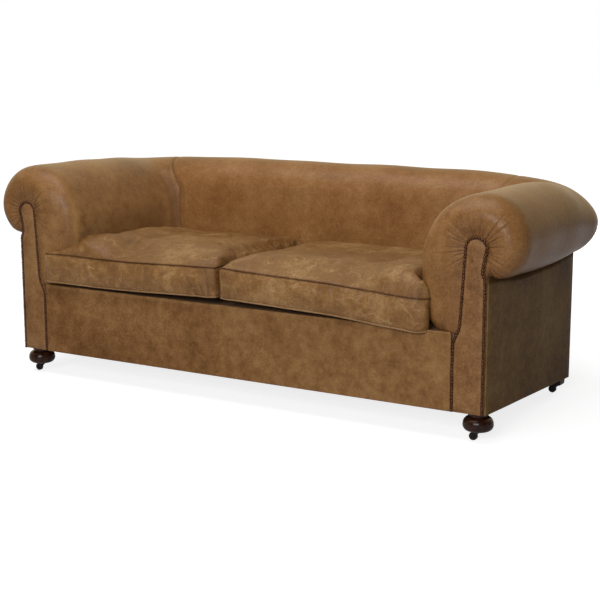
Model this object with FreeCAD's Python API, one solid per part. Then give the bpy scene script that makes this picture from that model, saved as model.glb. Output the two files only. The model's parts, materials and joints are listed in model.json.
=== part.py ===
import FreeCAD, Part
import os
from math import asin, ceil, cos, degrees, radians, sin, sqrt, tan

Vec = FreeCAD.Vector

# Overall sizes of the leather-covered body, in millimetres
base_width = 1740.0
base_depth = 708.0
base_front_height = 88.0
base_rear_height = 50.0
roll_height = 722.0
platform_height = 319.0
cushion_overhang = 30.0

# Section of the rolled arm and of the rolled back
crest_inset = 30.0
roll_outer_radius = 134.0
roll_under_radius = 95.0
roll_under_slope = 8.0
arm_inner_radius = 197.0
arm_lower_radius = 593.0
back_inner_radius = 100.0
roll_corner_radius = 225.0
roll_front_round = 50.0
seam_top_half = 680.0
seam_foot_half = 604.0
seam_knee_drop = 112.0

# Leather, boards and the clearances between layers
leather = 2.0
soft_gap = 0.4
panel_thickness = 7.0
panel_top_gap = 1.0
cavity_depth = 70.0
cavity_drop = 122.0

# Arm facing, measured inward from the outside panel, up from the floor and down from the roll's crest
facing_thickness = 8.0
facing_outer_edge = 3.0
facing_inner_edge = 108.0
facing_shoulder_height = 276.0
facing_waist_height = 361.0
facing_waist_edge = 86.0
facing_neck_drop = 218.0
facing_neck_edge = 12.0
facing_neck_run = 24.0
facing_arch_inset = 37.0
facing_arch_radius = 37.0
facing_arch_drop = 152.0
nail_edge = 5.0
nail_pitch = 9.3
nail_radius = 4.4
nail_crown_radius = 2.2
nail_rise = 3.0
nail_sides = 6

# Front border with its piped top edge
border_thickness = 6.0
border_setback = 3.0
border_end_gap = 0.5
border_bead_radius = 5.0

# Timber frame
rail_thickness = 32.0
rail_depth = 150.0
stump_thickness = 30.0
stump_margin = 6.0
top_rail_depth = 44.0
top_rail_outer = 21.0
tacking_rail_thickness = 28.0
tacking_rail_depth = 40.0
tacking_rail_lift = 16.0
post_front_gap = 0.3
upright_width = 50.0
stay_width = 40.0
stay_depth = 44.0
block_leg = 90.0
block_depth = 48.0

# Seat webbing, cloth, platform and dust cover
strap_width = 50.0
strap_thickness = 2.0
long_strap_count = 9
cross_strap_count = 4
strap_end_setback = 6.0
cloth_thickness = 1.0
cloth_inset = 14.0
dust_cover_thickness = 1.2
dust_cover_gap = 0.3
dust_cover_inset = 1.0

# Loose seat cushions
cushion_boxing = 102.0
cushion_crown = 42.0
cushion_belly = 14.0
cushion_leather = 3.0
cushion_core_gap = 0.4
cushion_gap = 1.0
cushion_seam_x = -38.0
cushion_ear_left = 135.0
cushion_ear_right = 164.0
cushion_corner = 12.0
cushion_draw = 5.0
crown_rim = 8.0
crown_shoulder = 70.0
crown_flat = 150.0
crown_shoulder_rise = 0.68
crown_corner = 60.0
piping_radius = 3.5
piping_gap = 0.3

# Turned front feet and square rear legs
bun_side_inset = 38.0
bun_front_inset = 46.0
bun_radius = 45.0
bun_foot_radius = 25.0
bun_neck_radius = 25.0
bun_collar_radius = 30.0
bun_swell_radius = 40.8
bun_lower_swell_height = 37.3
bun_belly_height = 53.0
bun_upper_swell_height = 66.5
bun_neck_height = 75.0
bun_collar_height = 79.0
leg_side_inset = 30.0
leg_rear_inset = 32.0
leg_top = 44.0
leg_bottom = 38.0
dowel_radius = 11.0
dowel_length = 36.0
dowel_gap = 0.1
foot_hole_gap = 1.5

# Castors
castor_height = 31.5
castor_plate_radius = 17.0
castor_plate_thickness = 2.0
castor_pin_radius = 4.0
castor_pin_head_radius = 6.0
castor_pin_head = 1.2
castor_run_gap = 0.05
castor_face_gap = 0.35
castor_trail = 14.0
hub_radius = 13.0
hub_thickness = 2.6
cheek_thickness = 2.5
cheek_reach = 8.0
cheek_eye_radius = 5.5
wheel_radius = 12.5
wheel_width = 13.0
wheel_edge = 2.5
wheel_side_gap = 0.7
axle_radius = 2.5
axle_fit = 0.02
axle_head_radius = 4.0
axle_head = 1.3

# Places worked out from the sizes above
half_width = base_width / 2
roll_overhang = roll_outer_radius - crest_inset
total_depth = cushion_overhang + base_depth + roll_overhang
front_plane = cushion_overhang - total_depth / 2
rear_plane = front_plane + base_depth
arm_thickness = crest_inset + arm_inner_radius
back_thickness = crest_inset + back_inner_radius
corner_inset = roll_corner_radius - roll_overhang
corner_x = half_width - corner_inset
corner_y = rear_plane - corner_inset
pad_front = front_plane + facing_thickness + soft_gap / 2
pad_floor = platform_height + soft_gap
cavity_top = roll_height - cavity_drop
facing_arch_height = roll_height - facing_arch_drop
facing_neck_height = roll_height - facing_neck_drop
cover_lip = panel_thickness + soft_gap
stump_front = pad_front + leather + soft_gap
stump_rear = stump_front + stump_thickness
stump_inner = facing_inner_edge - stump_margin
post_front = rear_plane - cavity_depth + post_front_gap
post_inner = half_width - cavity_depth + post_front_gap
border_front = front_plane + border_setback
border_rear = border_front + border_thickness
rail_front_rear = border_rear + rail_thickness
rail_back_front = rear_plane - panel_thickness - rail_thickness
timber_top = cavity_top - soft_gap
top_rail_floor = timber_top - top_rail_depth
tacking_floor = platform_height + tacking_rail_lift
tacking_top = tacking_floor + tacking_rail_depth
base_slope = (base_front_height - base_rear_height) / base_depth
frame_drop = dust_cover_thickness + dust_cover_gap
rail_rise = frame_drop + rail_depth
strap_rise = rail_rise + strap_thickness
cloth_rise = strap_rise + strap_thickness
far = base_width + base_depth

os.makedirs("parts", exist_ok=True)


def box(x0, x1, y0, y1, z0, z1):
    return Part.makeBox(x1 - x0, y1 - y0, z1 - z0, Vec(x0, y0, z0))


def mirrored(shape):
    return shape.mirror(Vec(0, 0, 0), Vec(1, 0, 0))


def save(name, shape):
    shape.exportStep("parts/" + name + ".step")
    print(name, len(shape.Solids), round(shape.Volume / 1000.0, 1))


def save_pair(stem, right_shape):
    save("right_" + stem, right_shape)
    save("left_" + stem, mirrored(right_shape))


def line(a, b):
    return Part.makeLine(a, b)


def arc(a, middle, b):
    return Part.Arc(a, middle, b).toShape()


def filled(edges):
    return Part.Face(Part.Wire(Part.__sortEdges__(edges)))


def base_height(y):
    return base_front_height - (y - front_plane) * base_slope


def raked_slab(bottom_rise, top_rise, x0, x1, y0, y1):
    corners = [
        Vec(x0, y0, base_height(y0) + bottom_rise),
        Vec(x0, y1, base_height(y1) + bottom_rise),
        Vec(x0, y1, base_height(y1) + top_rise),
        Vec(x0, y0, base_height(y0) + top_rise),
    ]
    side = Part.Face(Part.makePolygon(corners + corners[:1]))
    return side.extrude(Vec(x1 - x0, 0, 0))


def cut_below(shape, rise):
    return shape.cut(raked_slab(-far, rise, -far, far, -far, far))


def cut_above(shape, rise):
    return shape.cut(raked_slab(rise, far, -far, far, -far, far))


def on_arm(outward, height):
    return Vec(half_width + outward, 0, height)


def on_back(outward, height):
    return Vec(0, rear_plane + outward, height)


def round_point(centre, radius, angle):
    turn = radians(angle)
    return centre[0] + radius * cos(turn), centre[1] + radius * sin(turn)


def turn_edge(place, centre, radius, start, end):
    steps = (start, (start + end) / 2, end)
    return arc(*[place(*round_point(centre, radius, angle)) for angle in steps])


# The roll's section: underside, under turn, crest, inner bulge and inner face
def roll_section(place, inset, stretch, inner_radius=None, lower_radius=None):
    crest_centre = (-crest_inset, roll_height - roll_outer_radius)
    under_centre = (roll_overhang - roll_under_radius, crest_centre[1])
    floor = pad_floor - stretch
    lip = cover_lip - stretch
    under_angle = roll_under_slope - 90.0
    under_start = round_point(under_centre, roll_under_radius - inset, under_angle)
    lip_height = under_start[1] - (under_start[0] + lip) * tan(radians(roll_under_slope))
    edges = [
        line(place(-lip, lip_height), place(*under_start)),
        turn_edge(place, under_centre, roll_under_radius - inset, under_angle, 0.0),
        turn_edge(place, crest_centre, roll_outer_radius - inset, 0.0, 90.0),
    ]
    last = (-crest_inset, roll_height - inset)
    if inner_radius:
        inner_centre = (-crest_inset, roll_height - inner_radius)
        edges.append(turn_edge(place, inner_centre, inner_radius - inset, 90.0, 180.0))
        last = (-crest_inset - inner_radius + inset, inner_centre[1])
    foot = (last[0], floor)
    if lower_radius:
        lower_centre = (lower_radius - crest_inset - inner_radius, inner_centre[1])
        swing = degrees(asin((lower_centre[1] - floor) / (lower_radius - inset)))
        edges.append(turn_edge(place, lower_centre, lower_radius - inset, 180.0, 180.0 + swing))
        foot = round_point(lower_centre, lower_radius - inset, 180.0 + swing)
    else:
        edges.append(line(place(*last), place(*foot)))
    edges.append(line(place(*foot), place(-lip, floor)))
    edges.append(line(place(-lip, floor), place(-lip, lip_height)))
    return filled(edges)


# Everything outward of the seam between an arm and the back
def seam_wedge(gap):
    knee = roll_height - seam_knee_drop
    flare = (seam_top_half - seam_foot_half) / seam_knee_drop
    corners = [
        Vec(seam_foot_half - gap, -far, -far),
        Vec(seam_foot_half - gap, -far, knee),
        Vec(seam_foot_half - gap + flare * far, -far, knee + far),
        Vec(far * 2, -far, knee + far),
        Vec(far * 2, -far, -far),
    ]
    return Part.Face(Part.makePolygon(corners + corners[:1])).extrude(Vec(0, far * 2, 0))


# Everything outside a drum round the rear corner's axis
def beyond_corner(radius, floor):
    drum = Part.makeCylinder(radius, far * 2, Vec(corner_x, corner_y, -far))
    return box(corner_x, far, corner_y, far, floor, far).cut(drum)


# The right arm with the roll carried round the rear corner up to the seam
def arm_form(inset, stretch):
    front = pad_front + inset
    section = roll_section(on_arm, inset, stretch, arm_inner_radius, arm_lower_radius)
    section.translate(Vec(0, front, 0))
    straight = section.extrude(Vec(0, rear_plane - crest_inset - front, 0))
    rounded = []
    for edge in straight.Edges:
        ends = [vertex.Point for vertex in edge.Vertexes]
        at_front = all(abs(point.y - front) < soft_gap / 2 for point in ends)
        on_floor = all(point.z < pad_floor + soft_gap / 2 for point in ends)
        on_lip = all(abs(point.x - half_width + cover_lip - stretch) < soft_gap / 2 for point in ends)
        if at_front and not on_floor and not on_lip:
            rounded.append(edge)
    straight = straight.makeFillet(roll_front_round - inset, rounded)
    stub = roll_section(on_back, inset, stretch, back_inner_radius)
    stub.translate(Vec(half_width - crest_inset, 0, 0))
    stub = stub.extrude(Vec(crest_inset - half_width, 0, 0))
    outside = beyond_corner(corner_inset - crest_inset, -far)
    corner = roll_section(on_arm, inset, stretch)
    corner.translate(Vec(0, corner_y, 0))
    corner = corner.revolve(Vec(corner_x, corner_y, 0), Vec(0, 0, 1), 90.0)
    whole = straight.cut(outside).fuse([stub.cut(outside), corner])
    return whole.common(seam_wedge(stretch)).removeSplitter()


def back_form(inset, stretch):
    section = roll_section(on_back, inset, stretch, back_inner_radius)
    section.translate(Vec(-corner_x, 0, 0))
    body = section.extrude(Vec(corner_x * 2, 0, 0))
    wedge = seam_wedge(soft_gap * 2 - stretch)
    return body.cut([wedge, mirrored(wedge)])


arm_cover = arm_form(0.0, 0.0).cut(arm_form(leather, 1.0))
save_pair("arm_cover", arm_cover)
back_cover = back_form(0.0, 0.0).cut(back_form(leather, 1.0))
save("back_cover", back_cover)


# Facing outline, drawn for the right arm on the plane y
def facing_edges(y, margin, floor):
    def at(inward, height):
        return Vec(half_width - inward, y, height)

    outer = facing_outer_edge + margin
    inner = facing_inner_edge - margin
    neck = facing_neck_edge + margin
    waist = facing_waist_edge - margin
    arch = facing_arch_radius - margin
    arch_outer = facing_arch_inset - arch
    arch_inner = facing_arch_inset + arch
    neck_start = facing_neck_height - facing_neck_run
    step_height = (facing_shoulder_height + facing_waist_height) / 2
    step_edge = (inner + waist) / 2
    step_drop = (facing_waist_height - facing_shoulder_height) / 4
    step_swell = (inner - waist) / 8
    return [
        line(at(outer, floor), at(outer, neck_start)),
        arc(at(outer, neck_start), at((outer * 2 + neck * 3) / 5, (neck_start + facing_neck_height) / 2),
            at(neck, facing_neck_height)),
        arc(at(neck, facing_neck_height),
            at((neck * 3 + arch_outer * 2) / 5, (facing_neck_height + facing_arch_height) / 2),
            at(arch_outer, facing_arch_height)),
        arc(at(arch_outer, facing_arch_height), at(facing_arch_inset, facing_arch_height + arch),
            at(arch_inner, facing_arch_height)),
        line(at(arch_inner, facing_arch_height), at(waist, facing_waist_height)),
        arc(at(waist, facing_waist_height), at((waist + step_edge) / 2 - step_swell, step_height + step_drop),
            at(step_edge, step_height)),
        arc(at(step_edge, step_height), at((inner + step_edge) / 2 + step_swell, step_height - step_drop),
            at(inner, facing_shoulder_height)),
        line(at(inner, facing_shoulder_height), at(inner, floor)),
    ]


def facing_plate(y, thickness, margin):
    edges = facing_edges(y, margin, 0.0)
    start = edges[0].Vertexes[0].Point
    end = edges[-1].Vertexes[-1].Point
    return filled(edges + [line(end, start)]).extrude(Vec(0, thickness, 0))


facing = cut_below(facing_plate(front_plane, facing_thickness, 0.0), 0.0)
save_pair("facing", facing)

# Decorative nails, one inside the edge of each facing at an even pitch
nail_floor = base_front_height + nail_edge
nail_wire = Part.Wire(Part.__sortEdges__(facing_edges(front_plane, nail_edge, nail_floor)))
nail_count = ceil(nail_wire.Length / nail_pitch)


def nail_ring(radius, y):
    corners = []
    for index in range(nail_sides):
        turn = radians(360.0 * index / nail_sides)
        corners.append(Vec(radius * cos(turn), y, radius * sin(turn)))
    return Part.makePolygon(corners + corners[:1])


nail = Part.makeLoft([nail_ring(nail_radius, 0.0), nail_ring(nail_crown_radius, -nail_rise)], True, True)
right_nails = [nail.translated(point) for point in nail_wire.discretize(Number=nail_count)]
all_nails = right_nails + [mirrored(head) for head in right_nails]
save("facing_nails", Part.makeCompound(all_nails))

# Height of the outside panels, which stop under the roll
roll_underside = (roll_height - roll_outer_radius - roll_under_radius * cos(radians(roll_under_slope))
                  - (roll_overhang - roll_under_radius + roll_under_radius * sin(radians(roll_under_slope))
                     + cover_lip) * tan(radians(roll_under_slope)))
panel_top = roll_underside - panel_top_gap

# Stump boards behind the facings and the pads that they and the frame sit in
stump = cut_below(facing_plate(stump_front, stump_thickness, stump_margin), frame_drop)
stump_pocket = facing_plate(pad_front, stump_rear - pad_front, stump_margin - soft_gap)
cavity_outside = beyond_corner(corner_inset - cover_lip, -far)
arm_cavity = box(half_width - cavity_depth, half_width - cover_lip, stump_rear - soft_gap, rear_plane - cover_lip,
                 pad_floor - leather, cavity_top).cut(cavity_outside)
back_cavity = box(cover_lip - half_width, half_width - cover_lip, rear_plane - cavity_depth, rear_plane - cover_lip,
                  pad_floor - leather, cavity_top).cut(cavity_outside)
pad_inset = leather + soft_gap
arm_pad = arm_form(pad_inset, 0.0).cut([stump_pocket, arm_cavity, back_cavity])
save_pair("arm_pad", arm_pad)
back_pad = back_form(pad_inset, 0.0).cut(back_cavity)
save("back_pad", back_pad)

# Flat outside panels and the front border
side_panel = cut_below(box(half_width - panel_thickness, half_width, front_plane + facing_thickness, rear_plane,
                           0.0, panel_top), 0.0)
save_pair("outside_panel", side_panel)
back_panel_half = half_width - panel_thickness
save("outside_back_panel", cut_below(box(-back_panel_half, back_panel_half, rear_plane - panel_thickness, rear_plane,
                                         0.0, panel_top), 0.0))
border_half = half_width - facing_inner_edge - border_end_gap
border = cut_below(box(-border_half, border_half, border_front, border_rear,
                       0.0, platform_height - border_bead_radius), 0.0)
border_bead = Part.makeCylinder(border_bead_radius, border_half * 2,
                                Vec(-border_half, border_rear - border_bead_radius,
                                    platform_height - border_bead_radius), Vec(1, 0, 0))
save("front_border", border.fuse(border_bead).removeSplitter())

# Feet first, so that the frame takes their dowels
bun_x = half_width - bun_side_inset
bun_y = front_plane + bun_front_inset
leg_x = half_width - leg_side_inset
leg_y = rear_plane - leg_rear_inset


def dowel(x, y, gap):
    floor = base_height(y) - frame_drop
    return Part.makeCylinder(dowel_radius + gap, frame_drop * 2 + dowel_length + gap, Vec(x, y, floor))


def bun_foot():
    def at(radius, height):
        return Vec(bun_x + radius, bun_y, height)

    collar_top = base_front_height + rail_thickness
    profile = filled([
        line(at(0, castor_height), at(bun_foot_radius, castor_height)),
        arc(at(bun_foot_radius, castor_height), at(bun_swell_radius, bun_lower_swell_height),
            at(bun_radius, bun_belly_height)),
        arc(at(bun_radius, bun_belly_height), at(bun_swell_radius, bun_upper_swell_height),
            at(bun_neck_radius, bun_neck_height)),
        line(at(bun_neck_radius, bun_neck_height), at(bun_neck_radius, bun_collar_height)),
        line(at(bun_neck_radius, bun_collar_height), at(bun_collar_radius, bun_collar_height)),
        line(at(bun_collar_radius, bun_collar_height), at(bun_collar_radius, collar_top)),
        line(at(bun_collar_radius, collar_top), at(0, collar_top)),
        line(at(0, collar_top), at(0, castor_height)),
    ])
    turned = profile.revolve(Vec(bun_x, bun_y, 0), Vec(0, 0, 1), 360.0)
    return cut_above(turned, frame_drop).fuse(dowel(bun_x, bun_y, 0.0)).removeSplitter()


def square_ring(x, y, side, z):
    half = side / 2
    corners = [Vec(x - half, y - half, z), Vec(x + half, y - half, z), Vec(x + half, y + half, z),
               Vec(x - half, y + half, z)]
    return Part.makePolygon(corners + corners[:1])


rear_leg = Part.makeLoft([square_ring(leg_x, leg_y, leg_bottom, castor_height),
                          square_ring(leg_x, leg_y, leg_top, base_rear_height + rail_thickness)], True, True)
rear_leg = cut_above(rear_leg, frame_drop).fuse(dowel(leg_x, leg_y, 0.0)).removeSplitter()
front_foot = bun_foot()
save("front_right_bun_foot", front_foot)
save("front_left_bun_foot", mirrored(front_foot))
save("rear_right_leg", rear_leg)
save("rear_left_leg", mirrored(rear_leg))
front_hole = dowel(bun_x, bun_y, dowel_gap)
rear_hole = dowel(leg_x, leg_y, dowel_gap)

# Timber frame
save_pair("arm_stump", stump.cut(front_hole))
rail_half = half_width - stump_inner
front_rail = box(-rail_half, rail_half, border_rear, rail_front_rear, 0.0, far)
save("front_seat_rail", cut_above(cut_below(front_rail, frame_drop), rail_rise))
back_rail = box(-post_inner, post_inner, rail_back_front, rear_plane - panel_thickness, 0.0, far)
save("rear_seat_rail", cut_above(cut_below(back_rail, frame_drop), rail_rise))
side_rail = raked_slab(frame_drop, rail_rise, half_width - panel_thickness - rail_thickness,
                       half_width - panel_thickness, stump_rear, post_front)
save_pair("seat_rail", side_rail.cut(front_hole))
post = cut_below(box(post_inner, half_width - panel_thickness, post_front, rear_plane - panel_thickness,
                     0.0, timber_top), frame_drop)
save_pair("back_post", post.cut([rear_hole, beyond_corner(corner_inset - cover_lip - soft_gap, panel_top)]))
save_pair("arm_rail", box(post_inner, half_width - top_rail_outer, stump_rear, post_front,
                          top_rail_floor, timber_top))
save("back_top_rail", box(-post_inner, post_inner, post_front, rear_plane - top_rail_outer,
                          top_rail_floor, timber_top))
save_pair("arm_tacking_rail", box(post_inner, post_inner + tacking_rail_thickness, stump_rear, post_front,
                                  tacking_floor, tacking_top))
save("back_tacking_rail", box(-post_inner, post_inner, post_front, post_front + tacking_rail_thickness,
                              tacking_floor, tacking_top))
upright = box(-upright_width / 2, upright_width / 2, rail_back_front, rear_plane - cover_lip - soft_gap,
              0.0, top_rail_floor)
save("back_upright", cut_below(upright, rail_rise))
save("centre_seat_stay", raked_slab(frame_drop, frame_drop + stay_depth, -stay_width / 2, stay_width / 2,
                                    rail_front_rear, rail_back_front))


def corner_block(x, y, leg_y_sign):
    corners = [Vec(x, y, 0), Vec(x - block_leg, y, 0), Vec(x, y + leg_y_sign * block_leg, 0)]
    prism = Part.Face(Part.makePolygon(corners + corners[:1])).extrude(Vec(0, 0, far))
    return cut_above(cut_below(prism, frame_drop), frame_drop + block_depth)


front_block = corner_block(half_width - panel_thickness - rail_thickness, rail_front_rear, 1).cut(front_hole)
rear_block = corner_block(post_inner, rail_back_front, -1)
save("corner_blocks", Part.makeCompound([front_block, mirrored(front_block), rear_block, mirrored(rear_block)]))

# Seat webbing on the rails, cloth, platform pad, platform cover and dust cover
strap_front = border_rear + strap_end_setback
strap_rear = rear_plane - panel_thickness - strap_end_setback
strap_side = half_width - panel_thickness - strap_end_setback
straps = []
for index in range(long_strap_count):
    middle = rail_half * (2 * (index + 0.5) / long_strap_count - 1)
    straps.append(raked_slab(rail_rise, strap_rise, middle - strap_width / 2, middle + strap_width / 2,
                             strap_front, strap_rear))
for index in range(cross_strap_count):
    middle = stump_rear + (post_front - stump_rear) * (index + 0.5) / cross_strap_count
    straps.append(raked_slab(strap_rise, cloth_rise, -strap_side, strap_side,
                             middle - strap_width / 2, middle + strap_width / 2))
upright_room = box(-upright_width / 2 - soft_gap, upright_width / 2 + soft_gap, rail_back_front - soft_gap, far,
                   0.0, far)
save("seat_webbing", Part.makeCompound([strap.cut(upright_room) for strap in straps]))
platform_half = rail_half - soft_gap
platform_front = border_rear + soft_gap
platform_rear = rear_plane - cavity_depth - soft_gap
save("seat_cloth", raked_slab(cloth_rise, cloth_rise + cloth_thickness, -platform_half, platform_half,
                              platform_front + cloth_inset, platform_rear))
pad_top = platform_height - leather
save("platform_pad", cut_below(box(-platform_half, platform_half, platform_front, platform_rear,
                                   0.0, pad_top), cloth_rise + cloth_thickness))
save("platform_cover", box(-platform_half, platform_half, platform_front, platform_rear,
                           pad_top, platform_height))
dust_half = half_width - panel_thickness - dust_cover_inset
dust_cover = raked_slab(0.0, dust_cover_thickness, -dust_half, dust_half, stump_front,
                        rear_plane - panel_thickness - dust_cover_inset)
bun_room = bun_collar_radius + foot_hole_gap
leg_room = leg_top / 2 + foot_hole_gap
front_notch = box(bun_x - bun_room, far, -far, bun_y + bun_room, 0.0, far)
rear_notch = box(leg_x - leg_room, far, leg_y - leg_room, far, 0.0, far)
notches = [front_notch, rear_notch, mirrored(front_notch), mirrored(rear_notch)]
save("dust_cover", dust_cover.cut(notches))

# Loose cushions: drawn-in boxing with a front flare past the arm, and a crown
cushion_floor = platform_height + soft_gap
cushion_front = front_plane - cushion_overhang + piping_radius
piped_gap = cushion_gap + piping_radius
cushion_rear = rear_plane - back_thickness - piped_gap
cushion_side = half_width - arm_thickness - piped_gap
boxing_floor = cushion_floor + cushion_belly
boxing_top = boxing_floor + cushion_boxing


def cushion_boxing_form(inset, seam_x, side, flare, floor, top):
    def at(x, y):
        return Vec(x, y, floor)

    way = 1 if side > seam_x else -1
    seam = seam_x + way * inset
    outer = side - way * inset
    tip = way * (flare - inset)
    front = cushion_front + inset
    rear = cushion_rear - inset
    bend = roll_front_round + piped_gap + inset
    bend_x = side + way * (roll_front_round + piped_gap)
    bend_y = pad_front + roll_front_round
    bend_mid = bend * sqrt(0.5)
    ear_rear = bend_y - bend
    middle_y = (front + rear) / 2
    middle_x = (seam + outer) / 2
    outline = filled([
        line(at(seam, front), at(tip, front)),
        line(at(tip, front), at(tip, ear_rear)),
        line(at(tip, ear_rear), at(bend_x, ear_rear)),
        arc(at(bend_x, ear_rear), at(bend_x - way * bend_mid, bend_y - bend_mid), at(outer, bend_y)),
        line(at(outer, bend_y), at(outer, rear)),
        arc(at(outer, rear), at(middle_x, rear - cushion_draw), at(seam, rear)),
        arc(at(seam, rear), at(seam + way * cushion_draw, middle_y), at(seam, front)),
    ])
    prism = outline.extrude(Vec(0, 0, top - floor))
    corners = [(seam, front), (tip, front), (tip, ear_rear), (outer, rear), (seam, rear)]
    upright_edges = []
    for edge in prism.Edges:
        ends = [vertex.Point for vertex in edge.Vertexes]
        if abs(ends[0].z - ends[-1].z) < (top - floor) / 2:
            continue
        if any(abs(ends[0].x - x) < soft_gap and abs(ends[0].y - y) < soft_gap for x, y in corners):
            upright_edges.append(edge)
    return prism.makeFillet(cushion_corner - inset, upright_edges)


def rounded_ring(x0, x1, y0, y1, z, radius):
    nook = radius * (1 - sqrt(0.5))
    return Part.Wire([
        line(Vec(x0 + radius, y0, z), Vec(x1 - radius, y0, z)),
        arc(Vec(x1 - radius, y0, z), Vec(x1 - nook, y0 + nook, z), Vec(x1, y0 + radius, z)),
        line(Vec(x1, y0 + radius, z), Vec(x1, y1 - radius, z)),
        arc(Vec(x1, y1 - radius, z), Vec(x1 - nook, y1 - nook, z), Vec(x1 - radius, y1, z)),
        line(Vec(x1 - radius, y1, z), Vec(x0 + radius, y1, z)),
        arc(Vec(x0 + radius, y1, z), Vec(x0 + nook, y1 - nook, z), Vec(x0, y1 - radius, z)),
        line(Vec(x0, y1 - radius, z), Vec(x0, y0 + radius, z)),
        arc(Vec(x0, y0 + radius, z), Vec(x0 + nook, y0 + nook, z), Vec(x0 + radius, y0, z)),
    ])


def cushion_swell(inset, seam_x, side, height, swell):
    low, high = sorted((seam_x, side))
    rings = []
    for drawn, rise in ((crown_rim, 0.0), (crown_shoulder, crown_shoulder_rise), (crown_flat, 1.0)):
        gap = drawn + inset
        rings.append(rounded_ring(low + gap, high - gap, cushion_front + gap, cushion_rear - gap,
                                  height + rise * swell, crown_corner))
    return Part.makeLoft(rings, True, False)


def cushion_form(inset, seam_x, side, flare):
    boxing = cushion_boxing_form(inset, seam_x, side, flare, boxing_floor + inset, boxing_top - inset)
    crown = cushion_swell(inset, seam_x, side, boxing_top - inset, cushion_crown)
    belly = cushion_swell(inset, seam_x, side, boxing_floor + inset, -cushion_belly)
    return boxing.fuse([crown, belly])


def piping_loop(seam_x, side, flare, height, radius):
    boxing = cushion_boxing_form(0.0, seam_x, side, flare, height, boxing_top + height)
    rim = min(boxing.Faces, key=lambda face: face.CenterOfMass.z).OuterWire
    edge = max(rim.Edges, key=lambda item: item.Length)
    start = edge.Vertexes[0].Point
    along = edge.tangentAt(edge.FirstParameter)
    ring = Part.Wire(Part.makeCircle(radius, start, along))
    spine = Part.Wire(Part.sortEdges(rim.Edges)[0])
    return spine.makePipeShell([ring], True, False)


def make_cushion(name, seam_x, side, flare):
    outer = cushion_form(0.0, seam_x, side, flare)
    heights = (boxing_floor, boxing_top)
    grooves = [piping_loop(seam_x, side, flare, height, piping_radius + piping_gap) for height in heights]
    cover = outer.cut(cushion_form(cushion_leather, seam_x, side, flare)).cut(grooves)
    save(name + "_cushion_cover", cover)
    save(name + "_cushion_core", cushion_form(cushion_leather + cushion_core_gap, seam_x, side, flare))
    loops = [piping_loop(seam_x, side, flare, height, piping_radius) for height in heights]
    save(name + "_cushion_piping", Part.makeCompound(loops))


make_cushion("left", cushion_seam_x - piped_gap, -cushion_side, half_width - cushion_ear_left)
make_cushion("right", cushion_seam_x + piped_gap, cushion_side, half_width - cushion_ear_right)

# Castors: a plate with its riveted pin under each foot, a horn, an axle and a wheel
plate_floor = castor_height - castor_plate_thickness
hub_top = plate_floor - castor_face_gap
hub_floor = hub_top - hub_thickness
pin_floor = hub_floor - castor_face_gap
fork_inner = wheel_width / 2 + wheel_side_gap
fork_outer = fork_inner + cheek_thickness


def castor_plate():
    plate = Part.makeCylinder(castor_plate_radius, castor_plate_thickness, Vec(0, 0, plate_floor))
    pin = Part.makeCylinder(castor_pin_radius, plate_floor - pin_floor, Vec(0, 0, pin_floor))
    head = Part.makeCylinder(castor_pin_head_radius, castor_pin_head, Vec(0, 0, pin_floor - castor_pin_head))
    return plate.fuse([pin, head]).removeSplitter()


def castor_cheek():
    def at(x, z):
        return Vec(x, fork_inner, z)

    eye = wheel_radius
    outline = filled([
        line(at(cheek_reach, hub_top), at(-castor_trail, hub_top)),
        line(at(-castor_trail, hub_top), at(-castor_trail - cheek_eye_radius, eye)),
        arc(at(-castor_trail - cheek_eye_radius, eye), at(-castor_trail, eye - cheek_eye_radius),
            at(-castor_trail + cheek_eye_radius, eye)),
        line(at(-castor_trail + cheek_eye_radius, eye), at(cheek_reach, hub_floor)),
        line(at(cheek_reach, hub_floor), at(cheek_reach, hub_top)),
    ])
    return outline.extrude(Vec(0, cheek_thickness, 0))


def castor_horn():
    hub = Part.makeCylinder(hub_radius, hub_thickness, Vec(0, 0, hub_floor))
    cheek = castor_cheek()
    body = hub.fuse([cheek, cheek.mirror(Vec(0, 0, 0), Vec(0, 1, 0))])
    pin_bore = Part.makeCylinder(castor_pin_radius + castor_run_gap, castor_height, Vec(0, 0, 0))
    eye_bore = Part.makeCylinder(axle_radius + axle_fit, fork_outer * 4,
                                 Vec(-castor_trail, -fork_outer * 2, wheel_radius), Vec(0, 1, 0))
    return body.cut([pin_bore, eye_bore]).removeSplitter()


def castor_axle():
    place = Vec(-castor_trail, -fork_outer - axle_head, wheel_radius)
    rod = Part.makeCylinder(axle_radius, (fork_outer + axle_head) * 2, place, Vec(0, 1, 0))
    near = Part.makeCylinder(axle_head_radius, axle_head - axle_fit, place, Vec(0, 1, 0))
    return rod.fuse([near, near.mirror(Vec(0, 0, 0), Vec(0, 1, 0))]).removeSplitter()


def castor_wheel():
    centre = Vec(-castor_trail, -wheel_width / 2, wheel_radius)
    tyre = Part.makeCylinder(wheel_radius, wheel_width, centre, Vec(0, 1, 0))
    tyre = tyre.makeFillet(wheel_edge, [edge for edge in tyre.Edges if len(edge.Vertexes) == 1])
    bore = Part.makeCylinder(axle_radius + castor_run_gap, wheel_width, centre, Vec(0, 1, 0))
    return tyre.cut(bore)


corners = {
    "front_left": (-bun_x, bun_y),
    "front_right": (bun_x, bun_y),
    "rear_left": (-leg_x, leg_y),
    "rear_right": (leg_x, leg_y),
}
save("castor_plates", Part.makeCompound([castor_plate().translated(Vec(x, y, 0)) for x, y in corners.values()]))
for corner, (x, y) in corners.items():
    spot = Vec(x, y, 0)
    save(corner + "_castor_horn", castor_horn().translated(spot))
    save(corner + "_castor_axle", castor_axle().translated(spot))
    save(corner + "_castor_wheel", castor_wheel().translated(spot))
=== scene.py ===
import bpy
import json
import math
import random
import numpy as np
from mathutils import Matrix, Vector, kdtree

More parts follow.
